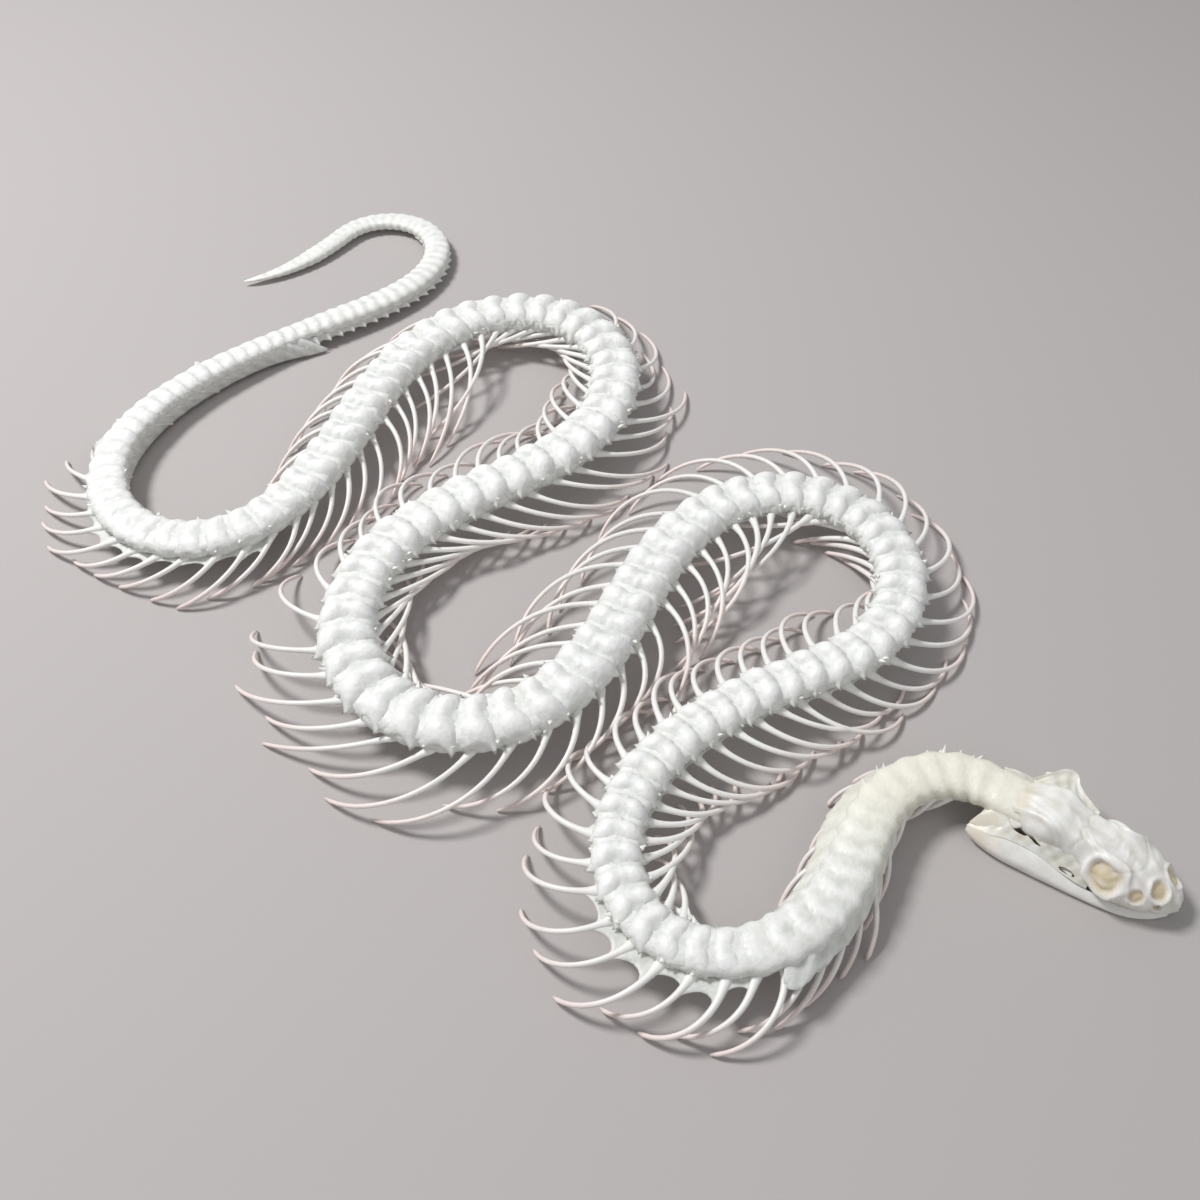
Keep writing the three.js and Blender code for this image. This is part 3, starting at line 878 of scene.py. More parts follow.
    def curve(self, s: float, side: Side, index: int | None = None) -> Array:
        """The middle line of a rib, from its vertebra to its free tip.

        The sweep turns from root to tip as the share of the length to the power of the
        curl, and its cosine and sine add up to the way out and the way back. The plane
        tilts, or the way back droops less, until the lowest point is on the floor.

        Args:
            s: Distance of the rib's vertebra.
            side: The side it stands on.
            index: Number of the vertebra, for the rib's own small differences.

        Returns:
            Points from root to tip, in millimetres.
        """
        length, root, tip, droop = self.posture(s, side)
        hug = float(smooth((root - self.hug_from) / self.hug_over))
        if index is not None:
            freedom = 1 - self.steadying * hug
            own = [float(wobble(index, side.value + salt)) for salt in (0, 5, 9)]
            length *= 1 + self.length_variation * freedom * own[0]
            root += self.root_variation * freedom * own[1]
            tip += self.tip_variation * freedom * own[2]
        u = (np.arange(self.steps) + 0.5) / self.steps
        sweep = np.radians(root + (tip - root) * u**self.curl_power)
        stretch = length / self.steps
        outward = np.concatenate([[0], np.cumsum(np.cos(sweep))]) * stretch
        back = np.concatenate([[0], np.cumsum(np.sin(sweep))]) * stretch
        thick = self.radius(np.linspace(0, 1, self.steps + 1))
        middle, _, _ = self.backbone.frame(s)
        pitch = float(self.backbone.pitch(s))
        root_height = middle[2] - self.root_drop * pitch

        def deepest(tilt: float, lean: float) -> float:
            """How far the rib's underside hangs below its root."""
            return float(np.max(math.sin(tilt) * outward + math.sin(lean) * back + thick))

        droop = math.radians(droop)
        tilt = self.steepest_rise
        if deepest(tilt, droop) > root_height:
            droop = self.solve(lambda angle: deepest(tilt, angle), root_height, 0.0, droop)
        else:
            tilt = self.solve(
                lambda angle: deepest(angle, droop), root_height, tilt, self.steepest_fall
            )
        towards_tail = back * math.cos(droop)
        point, along, right = self.backbone.frame(s + hug * towards_tail)
        out = side.value * (self.root_out * pitch + outward * math.cos(tilt))
        curve = point + right * out[:, None] + along * ((1 - hug) * towards_tail)[:, None]
        curve[:, 2] = root_height - math.sin(tilt) * outward - math.sin(droop) * back
        return curve

    def bearing(self, start: float, end: float) -> list[int]:
        """Numbers of the vertebrae of a length that carry ribs."""
        s = self.backbone.stations
        here = (s >= start) & (s < end) & (s > self.first) & (s < self.last)
        return [int(k) for k in np.flatnonzero(here)]

    def shell(self, index: int, side: Side) -> Shell:
        """One rib: an oval bar, flared where it meets its vertebra and knobbed at its tip.

        Its half thickness follows the table of radii, plus a bell near the tip, plus the
        flare times e to the power of minus the distance from the vertebra over a length.

        Args:
            index: Number of the vertebra.
            side: The side it stands on.

        Returns:
            The rib, with "tip" from 0 at the root to 1 at the tip, which paints a red reflection
            onto the thin tips.
        """
        s = float(self.backbone.stations[index])
        curve = self.curve(s, side, index)
        length = float(np.linalg.norm(np.diff(curve, axis=0), axis=1).sum())
        u = np.linspace(0, 1, self.steps + 1)
        from_root, from_tip = u * length, (1 - u) * length
        least, more = self.thick_variation
        thick = self.radius(u) * (least + more * float(variation(index, 21 + side.value)))
        hidden = self.covered * float(self.backbone.pitch(s))
        flare = self.flare_width * np.exp(-np.maximum(from_root - hidden, 0) / self.flare_length)
        size, middle, width = self.knob
        thick = thick + size * hump(from_tip - middle, width)
        wide = thick + flare
        high = thick + self.flare_height * flare
        wide[-1] *= self.end_share
        high[-1] *= self.end_share
        rings, share = bar(curve, wide, high, self.around)
        rings[..., 2] = np.maximum(rings[..., 2], FLOOR_GAP)
        # A painted red reflection tints the thin tips, from the start share out to the end.
        start, depth = self.painted_tip_reflection
        painted_tip_reflection = depth * smooth((share - start) / (1 - start))
        return tube(rings, {"tip": painted_tip_reflection, "stain": 0 * share})


# ------------------------------------------------------------------ dried tissue


@dataclass
class Ligament:
    """Dried ligament that fills the backbone between its bones.

    Widths, heights and swellings are shares of the pitch. A fade is where a change starts
    and over what distance it comes. Deep and shallow webs are the least depth, what torn
    ones add to it at most, and the share of it that the free edge loses.
    """

    backbone: Backbone
    ribs: Ribs
    ring_step: float = 0.2
    around: int = 24
    half_width: float = 0.93
    half_height: float = 0.465
    neck_width: float = 0.13
    neck_height: float = 0.125
    tail_width: float = 0.12
    tail_height: float = 0.065
    skull_reach: float = 3.4
    tuck: float = 0.6
    tucked_share: tuple[float, float] = (0.02, 0.15)
    neck_fade: tuple[float, float] = (38.0, 8.0)
    tail_fade: float = 12.0
    swell: tuple[float, float] = (0.05, 0.03)
    swell_shift: tuple[float, float] = (0.6, -0.8)
    fold_slant: float = 2.4
    fold_depth: tuple[float, float, float] = (0.02, 0.02, 0.05)
    neck_folds: tuple[float, float] = (9.0, 16.0)
    groove: tuple[float, float] = (0.5, 0.16)
    boxiness: tuple[float, float] = (0.85, 0.7)
    yellowing: tuple[float, float, float] = (0.6, 12.0, 20.0)
    web_thickness: float = 0.14
    web_lift: float = 0.05
    left_webs_end: float = 400.0
    right_webs_end: float = 450.0
    deep_webs: Rows = ((40.0, 60.0), (410.0, 446.0))
    deep: tuple[float, float, float] = (2.2, 3.0, 0.45)
    shallow: tuple[float, float, float] = (0.9, 1.8, 0.85)

    def core(self, start: float, end: float) -> Shell:
        """The sleeve round the backbone of a length.

        Its half width and height are shares of the pitch, larger on the neck and tail,
        and they swell and shrink by the cosine of the place between two vertebrae. Folds
        run over its top in a row of Vs: the cosine of that place plus the slant times the
        cosine of the turn without its sign, times the sine of the turn, less a groove along
        the middle. Its rings keep to one grid of distances, so that lengths meet, and reach
        a little under their neighbours, narrower there.

        Args:
            start: Where the length starts.
            end: Where it ends.

        Returns:
            The sleeve, with a value that paints light onto its top and fold ridges and shade into
            its folds, middle groove and underside.
        """
        bone = self.backbone
        front = start + 0.5 * float(bone.pitch(start))
        if start == bone.first_vertebra:
            front = start - self.skull_reach
        rear = min(end + 0.5 * float(bone.pitch(end)), bone.length)
        last = bone.length - bone.end_gap if rear == bone.length else rear + self.tuck
        first_ring = math.floor((front - self.tuck) / self.ring_step)
        s = self.ring_step * np.arange(first_ring, math.ceil(last / self.ring_step))
        inside = np.clip(np.maximum(front - s, s - rear) / self.tuck, 0, 1)
        phase = bone.phase(s) * FULL_TURN
        pitch = bone.pitch(s)
        neck = falling(s, *self.neck_fade)
        tail = smooth((s - bone.trunk_end) / self.tail_fade)
        wide = self.half_width + self.neck_width * neck + self.tail_width * tail
        high = self.half_height + self.neck_height * neck + self.tail_height * tail
        wide += self.swell[0] * np.cos(phase + self.swell_shift[0])
        high += self.swell[1] * np.cos(phase + self.swell_shift[1])
        narrow, narrowest = self.tucked_share
        size = pitch * bone.girth(s) * (1 - narrow * inside - narrowest * (inside == 1))
        wide, high = (wide * size)[:, None], (high * size)[:, None]
        turn = np.arange(self.around) / self.around * FULL_TURN
        aside, over = np.cos(turn), np.sin(turn)
        folds = np.cos(phase[:, None] + self.fold_slant * np.abs(aside)) * np.maximum(over, 0)
        folds = folds - self.groove[0] * hump(aside, self.groove[1]) * (over > 0)
        least, on_body, on_neck = self.fold_depth
        rise = smooth((s - self.neck_folds[0]) / self.neck_folds[1])
        depth = (least + on_body * (1 - neck) + on_neck * neck * rise)[:, None]
        fold = 1 + depth * folds
        point, _, right = bone.frame(s)
        across = np.sign(aside) * np.abs(aside) ** self.boxiness[0]
        up = np.sign(over) * np.abs(over) ** self.boxiness[1]
        rings = point[:, None] + right[:, None] * (wide * across * fold)[..., None]
        rings[..., 2] += high * up * fold
        rings[..., 2] = np.maximum(rings[..., 2], FLOOR_GAP)
        # Painted light and shade: lighter on the fold ridges and the top, darker in the folds, the
        # middle groove and underneath.
        painted_shading_and_tone = np.clip(0.55 + 5 * (depth - 0.01) * folds + 0.25 * over, 0, 1)
        most, *fade = self.yellowing
        yellowed = most * falling(s, *fade)[:, None]
        return tube(rings, {"painted_shading_and_tone": painted_shading_and_tone, "stain": yellowed + 0 * painted_shading_and_tone})

    def web(self, index: int, side: Side, depth: float, hollow: float) -> Shell:
        """A scrap of tissue between the roots of two ribs, with a hollow free edge.

        Its points lie on straight lines from one rib to the next, out to depth times
        (1 - hollow times the sine of the way across to the power 0.6).

        Args:
            index: Number of the first rib's vertebra.
            side: The side it hangs on.
            depth: How far it reaches along the ribs.
            hollow: How much of the depth its free edge loses in the middle.

        Returns:
            The scrap.
        """
        stations = self.backbone.stations
        pair = (index, index + 1)
        curves = [self.ribs.curve(float(stations[k]), side, k) for k in pair]
        across = np.linspace(0, 1, 7)[:, None]
        out = np.linspace(0, 1, 5)[None, :] * depth * (1 - hollow * np.sin(math.pi * across) ** 0.6)
        out = out + 0.8 * self.ribs.covered * self.backbone.pitches[index]
        ends = []
        for curve in curves:
            run = np.concatenate([[0], np.cumsum(np.linalg.norm(np.diff(curve, axis=0), axis=1))])
            ends.append(np.stack([np.interp(out, run, curve[:, k]) for k in range(3)], -1))
        top = ends[0] * (1 - across[..., None]) + ends[1] * across[..., None]
        top[..., 2] = np.maximum(top[..., 2], self.web_thickness) + self.web_lift
        painted_shading_and_tone = np.broadcast_to(0.75 - 0.5 * np.sin(math.pi * across), out.shape)
        return sheet(top, self.web_thickness, {"painted_shading_and_tone": painted_shading_and_tone, "stain": 0 * painted_shading_and_tone})

    def webs(self, start: float, end: float, side: Side) -> Shell | None:
        """All the scraps of one length on one side.

        Args:
            start: Where the length starts.
            end: Where it ends.
            side: The side they hang on.

        Returns:
            The scraps as one shell, or None where dried skin lies over all the ribs.
        """
        last = self.right_webs_end if side is Side.RIGHT else self.left_webs_end
        made = []
        for index in self.ribs.bearing(start, end):
            s = float(self.backbone.stations[index])
            if s > last:
                continue
            in_deep = side is Side.RIGHT and any(a < s < b for a, b in self.deep_webs)
            least, more, hollow = self.deep if in_deep else self.shallow
            torn = float(variation(index, 31 + side.value)) ** 2
            made.append(self.web(index, side, least + more * torn, hollow))
        return Shell.join(made) if made else None


@dataclass
class Covers:
    """Dried skin that lies over ribs which hug the body, and ragged ends along it.

    A stretch is a side, where it starts and ends, the share of the ribs that it covers, how
    much of that share its edge varies and how much wider its flap is at the end. Each
    splinter's measures are a least value and what variation adds to it.
    """

    backbone: Backbone
    ribs: Ribs
    stretches: tuple[tuple[Side, float, float, float, float, float], ...] = (
        (Side.RIGHT, -1.5, 40.0, 0.30, 0.05, 0.0), (Side.LEFT, -1.5, 50.0, 0.42, 0.06, 0.0),
        (Side.LEFT, 400.0, 493.5, 1.0, 0.015, 2.6), (Side.RIGHT, 450.0, 491.5, 1.0, 0.015, 0.0),
    )
    lift: tuple[float, float] = (0.35, 0.5)
    push: float = 0.5
    step: float = 0.7
    columns: int = 9
    thickness: float = 0.16
    least_reach: float = 0.35
    flap_length: float = 8.0
    wave: float = 0.16
    neck_stain: tuple[float, float, float] = (0.55, 14.0, 26.0)
    fringe: tuple[float, float] = (492.0, 541.0)
    fringe_step: float = 0.14
    fringe_depth: float = 0.95
    fringe_thickness: float = 0.2
    fringe_root: tuple[float, float] = (0.98, 0.14)
    tooth_peak: float = 0.6
    tooth_power: float = 2.2
    tooth_lean: float = 0.12
    fringe_fade: tuple[float, float] = (26.0, 0.1)
    splinters: int = 200
    neck_splinters: int = 15
    neck_splinter_size: float = 1.7
    splinters_on_neck: tuple[float, float] = (1.0, 15.0)
    splinters_on_body: tuple[float, float] = (36.0, 440.0)
    splinter_root: tuple[float, float] = (0.82, 0.14)
    splinter_rise: tuple[float, float] = (0.2, 0.6)
    splinter_lean: tuple[float, float] = (0.4, 1.2)
    splinter_length: tuple[float, float] = (0.35, 0.55)
    splinter_girth: float = 0.24

    def skirt(
        self, side: Side, start: float, end: float, reach: float, ragged: float, flap: float
    ) -> Shell:
        """A sheet along the ribs' own middle lines.

        A point lies at a share of the middle line that a rib would have there, times the
        reach and two sines that make the edge ragged. It is pushed out past the ribs and
        lifted over them, more where it leaves the backbone, and it waves up and down once
        for each vertebra.

        Args:
            side: The side it lies on.
            start: Where it starts.
            end: Where it ends.
            reach: Share of the ribs that it covers.
            ragged: How much of that its edge varies.
            flap: How much wider it ends, in millimetres, as a flap.

        Returns:
            The sheet.
        """
        rows = np.arange(start, end, self.step)
        share = np.linspace(0, 1, self.columns)
        grid = []
        for s in rows:
            curve = self.ribs.curve(float(s), side)
            curve = np.concatenate([curve, 2 * curve[-1:] - curve[-2:-1]])
            edge = reach * (1 + ragged * (math.sin(1.9 * s) + 0.7 * math.sin(4.7 * s + 1)))
            fade = float(smooth((s - start) / 6 + 0.35) * smooth((end - s) / 3 + 0.4 + flap))
            edge *= self.least_reach + (1 - self.least_reach) * fade
            grid.append(spline(curve, share * edge * self.ribs.steps))
        top = np.array(grid)
        _, _, right = self.backbone.frame(rows)
        widening = flap * hump(end - rows, self.flap_length)[:, None] * share**1.2
        outwards = side.value * (self.push * np.minimum(4 * share, 1) + widening)
        top += right[:, None] * outwards[..., None]
        pitch = self.backbone.pitch(rows)[:, None]
        top[..., 2] += self.lift[0] + self.lift[1] * pitch * (1 - share) ** 1.5
        top[..., 2] = np.maximum(top[..., 2], self.thickness + 0.03)
        wave = np.cos(FULL_TURN * self.backbone.phase(rows))[:, None]
        top[..., 2] += self.wave * wave * np.sin(math.pi * share**0.7)
        # Painted light and shade: lighter where the wave rises and darker in its dips; also darker
        # towards the outer edge.
        painted_shading_and_tone = np.clip(0.62 + 0.3 * wave - 0.2 * share, 0, 1)
        most, *fade = self.neck_stain
        neck = falling(rows, *fade)[:, None]
        return sheet(top, self.thickness, {"painted_shading_and_tone": painted_shading_and_tone, "stain": most * neck + 0 * painted_shading_and_tone})

    def tail_fringe(self, side: Side) -> Shell:
        """Pointed spines under the first half of the tail, with tissue between them.

        The edge stands off by a depth times a tooth that rises by the place to the power
        2.2 through most of each vertebra and falls the same way at its end.

        Args:
            side: The side it stands on.

        Returns:
            The toothed sheet.
        """
        start, end = self.fringe
        s = np.arange(start, end, self.fringe_step)
        phase = self.backbone.phase(s)
        place = phase - np.floor(phase)
        peak = self.tooth_peak
        sharp = np.where(place < peak, place / peak, (1 - place) / (1 - peak))[:, None]
        sharp = sharp**self.tooth_power
        fade, least = self.fringe_fade
        tooth = sharp * smooth((end - s) / fade + least)[:, None]
        point, along, right = (each[:, None] for each in self.backbone.frame(s))
        pitch = self.backbone.pitch(s)[:, None]
        share = np.linspace(0, 1, 6)
        root, least = self.fringe_root
        out = root * pitch + share * (least * pitch + self.fringe_depth * tooth)
        top = point + right * (side.value * out)[..., None]
        top += along * (self.tooth_lean * share * tooth)[..., None]
        top[..., 2] = point[..., 2] * (0.9 - 0.35 * share) + 0.1
        painted_shading_and_tone = 0.35 + 0.6 * sharp * share
        return sheet(top, self.fringe_thickness, {"painted_shading_and_tone": painted_shading_and_tone, "stain": 0 * painted_shading_and_tone})

    def ragged_ends(self) -> Shell:
        """Small splinters of dried tissue along the neck and at scattered rib roots.

        The first ones stand on the left of the neck, larger, and lean to the skull. The
        others stand on either side of the body and lean to the tail. Each is an oval bar
        that narrows evenly to a point.

        Returns:
            One shell of all of them.
        """
        number = np.arange(self.splinters)

        def drawn(span: tuple[float, float], salt: float) -> Array:
            """A number for each splinter: the first of a span plus a part of the second."""
            return span[0] + span[1] * variation(number, salt)

        on_neck = number < self.neck_splinters
        near, far = drawn(self.splinters_on_neck, 41), drawn(self.splinters_on_body, 42)
        s = np.where(on_neck, near, far)
        hand = np.where(on_neck | (variation(number, 43) < 0.5), -1, 1)[:, None]
        point, along, right = self.backbone.frame(s)
        pitch = self.backbone.pitch(s)
        root = point + right * hand * (pitch * drawn(self.splinter_root, 48))[:, None]
        root[:, 2] += pitch * drawn((0, 0.25), 44)
        lean = drawn(self.splinter_lean, 45) * np.where(on_neck, -0.6, 0.5)
        way = right * hand + along * lean[:, None]
        way[:, 2] = drawn(self.splinter_rise, 46)
        way /= np.linalg.norm(way, axis=1)[:, None]
        size = drawn(self.splinter_length, 47)
        size = size * np.where(on_neck, self.neck_splinter_size, 1)
        share = np.linspace(-0.2, 1, 5)
        centres = root[:, None] + way[:, None] * (share * size[:, None])[..., None]
        thick = self.splinter_girth * (1.02 - np.clip(share, 0, 1))
        shells = []
        for middle_line in centres:
            rings, _ = bar(middle_line, thick * 1.6, thick * 0.7, 6)
            level = np.full(rings.shape[:2], 0.8)
            shells.append(tube(rings, {"painted_shading_and_tone": level, "stain": level * 0.2}))
        return Shell.join(shells)

    def build(self, tissue: bpy.types.Material) -> None:
        """Makes the skirts, the tail's fringe and the splinters.

        Args:
            tissue: Their finish.
        """
        for number, stretch in enumerate(self.stretches):
            name = f"skirt_{number + 1}_{stretch[0].word}"
            make_piece(name, self.skirt(*stretch), tissue, [])
        for side in Side:
            make_piece(f"tail_fringe_{side.word}", self.tail_fringe(side), tissue, [])
        make_piece("splinters", self.ragged_ends(), tissue, [])


# ------------------------------------------------------------------ skull


@dataclass
class Skull:
    """Skull and lower jaw, in a frame of their own: X to the snout, Y to the left, Z up.

    Attributes:
        backbone: The curve that the skull stands at the start of.
        ahead: How far the frame's origin stands ahead of the curve's start.
        aside: How far it stands to the right.
        heading: Where the skull points, in degrees from the scene's X.
        cranium_rows: Place along, bottom, top, half width of the roof and of the base.
        quadrate_rows: For each side, place along, aside and up, half width, half thickness.
        pterygoid_rows: Place along, aside and up, and half thickness.
        mandible_rows: Place along, aside, bottom, top, half thickness, lean of the top.
        pits: Middle along, aside and up, radius, depth, height of the rim.
        roof_ridges: Height, middle aside and its slope, width, and a band along the skull.
        braincase: Middle along and aside, squared width and height of each dome.
        cheek_rows: A point on the outer edge and one on the inner edge, on the left.
        plate_rows: The same for the plate behind the left cheek.
        slots: Holes of a cheek: place along, way across, half length, half width, slant.
    """

    backbone: Backbone
    ahead: float = 3.2
    aside: float = -0.25
    heading: float = -38.0
    cranium_rows: Rows = (
        (-0.1, 4.3, 5.9, 1.0, 1.3), (0.9, 4.0, 6.6, 1.7, 2.3), (2.4, 3.8, 7.3, 2.3, 3.2),
        (5.0, 3.8, 7.7, 2.7, 3.6), (7.8, 3.6, 7.4, 2.5, 3.2), (10.0, 3.0, 7.2, 2.4, 3.2),
        (11.6, 2.4, 7.1, 2.8, 4.2), (13.6, 2.2, 6.9, 3.5, 4.8), (15.6, 2.1, 6.4, 3.1, 4.5),
        (17.6, 2.1, 5.7, 2.6, 3.9), (19.4, 2.1, 4.9, 2.1, 3.0), (20.8, 2.1, 3.9, 1.4, 2.0),
        (21.6, 2.2, 3.1, 0.6, 0.9),
    )
    quadrate_rows: dict[str, Rows] = field(default_factory=lambda: {
        "left": ((4.2, 3.0, 5.7, 2.2, 0.2), (4.0, 5.7, 5.4, 0.9, 0.2), (2.6, 6.3, 3.9, 0.9, 0.3)),
        "right": (
            (0.9, 2.8, 4.9, 1.7, 0.2), (-0.5, 3.9, 3.9, 1.5, 0.2), (-1.9, 4.9, 2.5, 0.9, 0.2),
        ),
    })
    pterygoid_rows: Rows = (
        (-1.6, 4.2, 2.6, 0.35), (3.0, 3.6, 2.9, 0.4), (7.5, 3.7, 2.6, 0.4), (10.0, 4.0, 2.4, 0.35),
    )
    mandible_rows: Rows = (
        (-3.0, 5.4, 1.2, 2.3, 0.35, 0.1), (-1.4, 5.75, 0.5, 2.9, 0.5, 0.4),
        (1.6, 5.9, 0.1, 3.4, 0.55, 1.0), (6.0, 5.5, 0.0, 3.2, 0.5, 0.9),
        (10.0, 5.0, 0.0, 2.2, 0.5, 0.4), (14.0, 4.4, 0.0, 1.7, 0.5, 0.2),
        (17.0, 3.65, 0.0, 1.6, 0.5, 0.2), (19.4, 2.3, 0.1, 1.6, 0.5, 0.2),
        (21.0, 0.8, 0.3, 1.6, 0.35, 0.1),
    )
    pits: Rows = (
        (13.0, -4.2, 5.25, 2.1, 0.5, 0.34), (13.0, 4.2, 5.25, 2.1, 0.5, 0.34),
        (18.9, -1.55, 5.0, 1.2, 0.3, 0.22), (19.5, 1.75, 4.7, 1.25, 0.3, 0.22),
        (16.9, -3.5, 4.5, 0.95, 0.2, 0.1), (17.2, 3.6, 4.5, 0.85, 0.2, 0.1),
        (19.4, -2.7, 3.5, 0.45, 0.5, 0.05), (19.4, 2.7, 3.5, 0.45, 0.5, 0.05),
    )
    roof_ridges: Rows = (
        (0.22, 0.9, 0.1, 0.38, 9.0, 1.5, 15.2, 1.2), (0.22, -0.9, -0.1, 0.38, 9.0, 1.5, 15.2, 1.2),
        (0.22, 2.1, 0.1, 0.32, 0.0, 1.0, 6.0, 2.0), (0.22, -2.1, -0.1, 0.32, 0.0, 1.0, 6.0, 2.0),
        (0.35, 0.5, 0.0, 0.6, 16.2, 0.8, 18.6, 0.8), (0.20, 0.0, 0.0, 0.4, 0.6, 1.5, 7.2, 1.2),
    )
    braincase: tuple[float, float, float, float] = (5.4, 1.7, 3.4, 0.32)
    cranium_grid: tuple[int, int] = (130, 110)
    bone_around: int = 24
    seam_width: float = 0.14
    seam_depth: float = 0.10
    lump_height: float = 0.06
    sheet_grid: tuple[int, int] = (140, 60)
    sheet_thickness: float = 0.22
    sheet_sag: float = 0.25
    lip_width: float = 0.12
    cheek_rows: Rows = (
        (-3.1, 5.45, 2.3, -1.9, 2.3, 4.7), (-0.5, 5.5, 3.0, -0.3, 2.0, 5.9),
        (2.0, 5.0, 3.5, 1.8, 2.5, 6.4), (5.0, 4.7, 3.4, 5.0, 2.9, 6.2),
        (8.0, 4.7, 2.8, 8.2, 2.6, 5.9), (10.6, 4.7, 2.4, 10.8, 2.9, 5.3),
        (12.0, 4.5, 2.2, 12.0, 3.6, 4.6),
    )
    plate_rows: Rows = (
        (0.9, 3.1, 6.1, 1.4, 2.0, 6.3), (2.2, 4.6, 6.5, 2.4, 2.3, 6.8),
        (3.5, 6.2, 6.7, 3.5, 2.4, 7.0), (4.9, 6.6, 6.4, 4.7, 2.5, 7.0),
        (5.8, 5.4, 6.2, 5.8, 2.5, 6.9), (7.0, 4.6, 6.0, 7.0, 2.4, 6.7),
        (9.2, 3.7, 5.5, 9.0, 2.2, 6.2),
    )
    slots: Rows = (
        (2.2, 0.66, 1.45, 0.26, -0.05), (4.2, 0.50, 1.3, 0.07, -0.09),
        (9.3, 0.17, 1.05, 0.10, 0.03),
    )

    def placed(self, points: Array) -> Array:
        """Brings points of the skull's frame to the skeleton's.

        Args:
            points: Points whose last axis is X, Y and Z.

        Returns:
            The points, turned to the heading and set ahead of the backbone's start.
        """
        start, _, _ = self.backbone.frame(np.array(0.0))
        turn = math.radians(self.heading)
        forward = np.array([math.cos(turn), math.sin(turn), 0])
        left = np.array([-math.sin(turn), math.cos(turn), 0])
        origin = start * [1, 1, 0] + forward * self.ahead - left * self.aside
        level = points[..., :1] * forward + points[..., 1:2] * left
        return origin + level + points[..., 2:] * [0, 0, 1]

    @staticmethod
    def patch(knots: Array, lengthwise: int, around: int) -> Array:
        """A surface through rings of knots, by the spline first around and then along.

        Args:
            knots: Points as rings x knots in a ring x 3.
            lengthwise: How many rings it has.
            around: How many points a ring has.

        Returns:
            Points as rings x points x 3.
        """
        turn = np.arange(around) / around * knots.shape[1]
        rings = spline(knots.swapaxes(0, 1), turn, closed=True).swapaxes(0, 1)
        return spline(rings, np.linspace(0, len(knots) - 1, lengthwise))

    def pitted(self, points: Array) -> tuple[Array, Array]:
        """Orbits, nasal openings and smaller pits.

        Each is a ball round its middle: its depth is 1 - smooth((distance over radius -
        0.84) over 0.2), and its rim a bell over the distance. Sines of the place make the
        distance, the rim and the membrane in it uneven.

        Args:
            points: Points of the skull.

        Returns:
            How far the points move outwards, and how much membrane colours them.
        """
        push = np.zeros(points.shape[:2])
        stain = np.zeros(points.shape[:2])
        x, z = points[..., 0], points[..., 2]
        for along, aside, up, radius, depth, rim in self.pits:
            away = np.linalg.norm(points - np.array([along, aside, up]), axis=-1) / radius
            away *= 1 + 0.06 * np.sin(1.7 * x + 1.3 * z + aside) + 0.02 * np.sin(3.1 * z - 2.3 * x)
            hole = falling(away, 0.84, 0.2)
            uneven = 0.9 + 0.25 * np.sin(1.1 * x - 1.6 * z + aside)
            push += rim * uneven * hump(away - 1.18, 0.17) - depth * hole
            push += 0.04 * hole * np.sin(4.7 * z - 1.9 * x + 1.2 * np.sin(2 * x))
            patchy = 0.85 + 0.3 * np.sin(2.9 * z + 0.8 * x) * np.sin(1.7 * x - 0.6 * z + 1)
            stain = np.maximum(stain, np.clip(hole * patchy, 0, 1))
        return push, stain

    def cranium(self) -> Shell:
        """Braincase, roof and snout, with sunken orbits and nasal openings.

        The surface is the spline through rings of ten corners, moved along its normals by
        the pits, by two domes and the ridges on the roof (bells across, bands along), by
        lumps (products of sines of a bent grid) and inwards by the seams (narrow bells).

        Returns:
            The skull without its jaws and quadrates.
        """
        rings = []
        for x, bottom, top, roof, base in self.cranium_rows:
            half = [
                (roof * 0.5, top), (roof, top - 0.35), (base, bottom + 0.45 * (top - bottom)),
                (base * 0.95, bottom + 0.2), (base * 0.5, bottom),
            ]
            ring = [(x, y, z) for y, z in half] + [(x, -y, z) for y, z in reversed(half)]
            rings.append(ring)
        points = self.patch(np.array(rings), *self.cranium_grid)
        normal = np.cross(np.gradient(points, axis=0), np.gradient(points, axis=1))
        normal /= np.maximum(np.linalg.norm(normal, axis=-1), 1e-9)[..., None]
        middle = points.mean(1, keepdims=True)
        normal *= np.sign(np.einsum("ijk,ijk->ij", normal, points - middle))[..., None]
        x, y, z = points[..., 0], points[..., 1], points[..., 2]
        push, stain = self.pitted(points)
        over = smooth((z - 4.8) / 1.2)
        along, aside, spread, height = self.braincase
        for hand in (1, -1):
            dome = np.exp(-((x - along) ** 2 + (y - aside * hand) ** 2) / spread)
            push += over * height * dome
        for height, aside, slope, width, *stretch in self.roof_ridges:
            push += over * height * hump(y - aside - slope * x, width) * band(x, *stretch)
        bent = x + 0.6 * np.sin(0.9 * x + 1.1 * y)
        lumps = np.sin(1.7 * bent + 1.3 * y + 0.8) * np.sin(1.6 * y - 0.7 * bent + 2.0)
        lumps += 0.4 * np.sin(3.7 * y + 1.3 * bent * np.sin(0.5 * x + y))
        push += self.lump_height * lumps
        seam = hump(y, 0.13) * band(x, 8.6, 0.6, 16.2, 0.6)
        seam = np.maximum(seam, hump(x - 8.6 - 0.25 * np.cos(3 * y), self.seam_width))
        seam = np.maximum(seam, 0.8 * hump(x - 16.3 + 0.2 * y**2, self.seam_width)) * over
        push -= self.seam_depth * seam
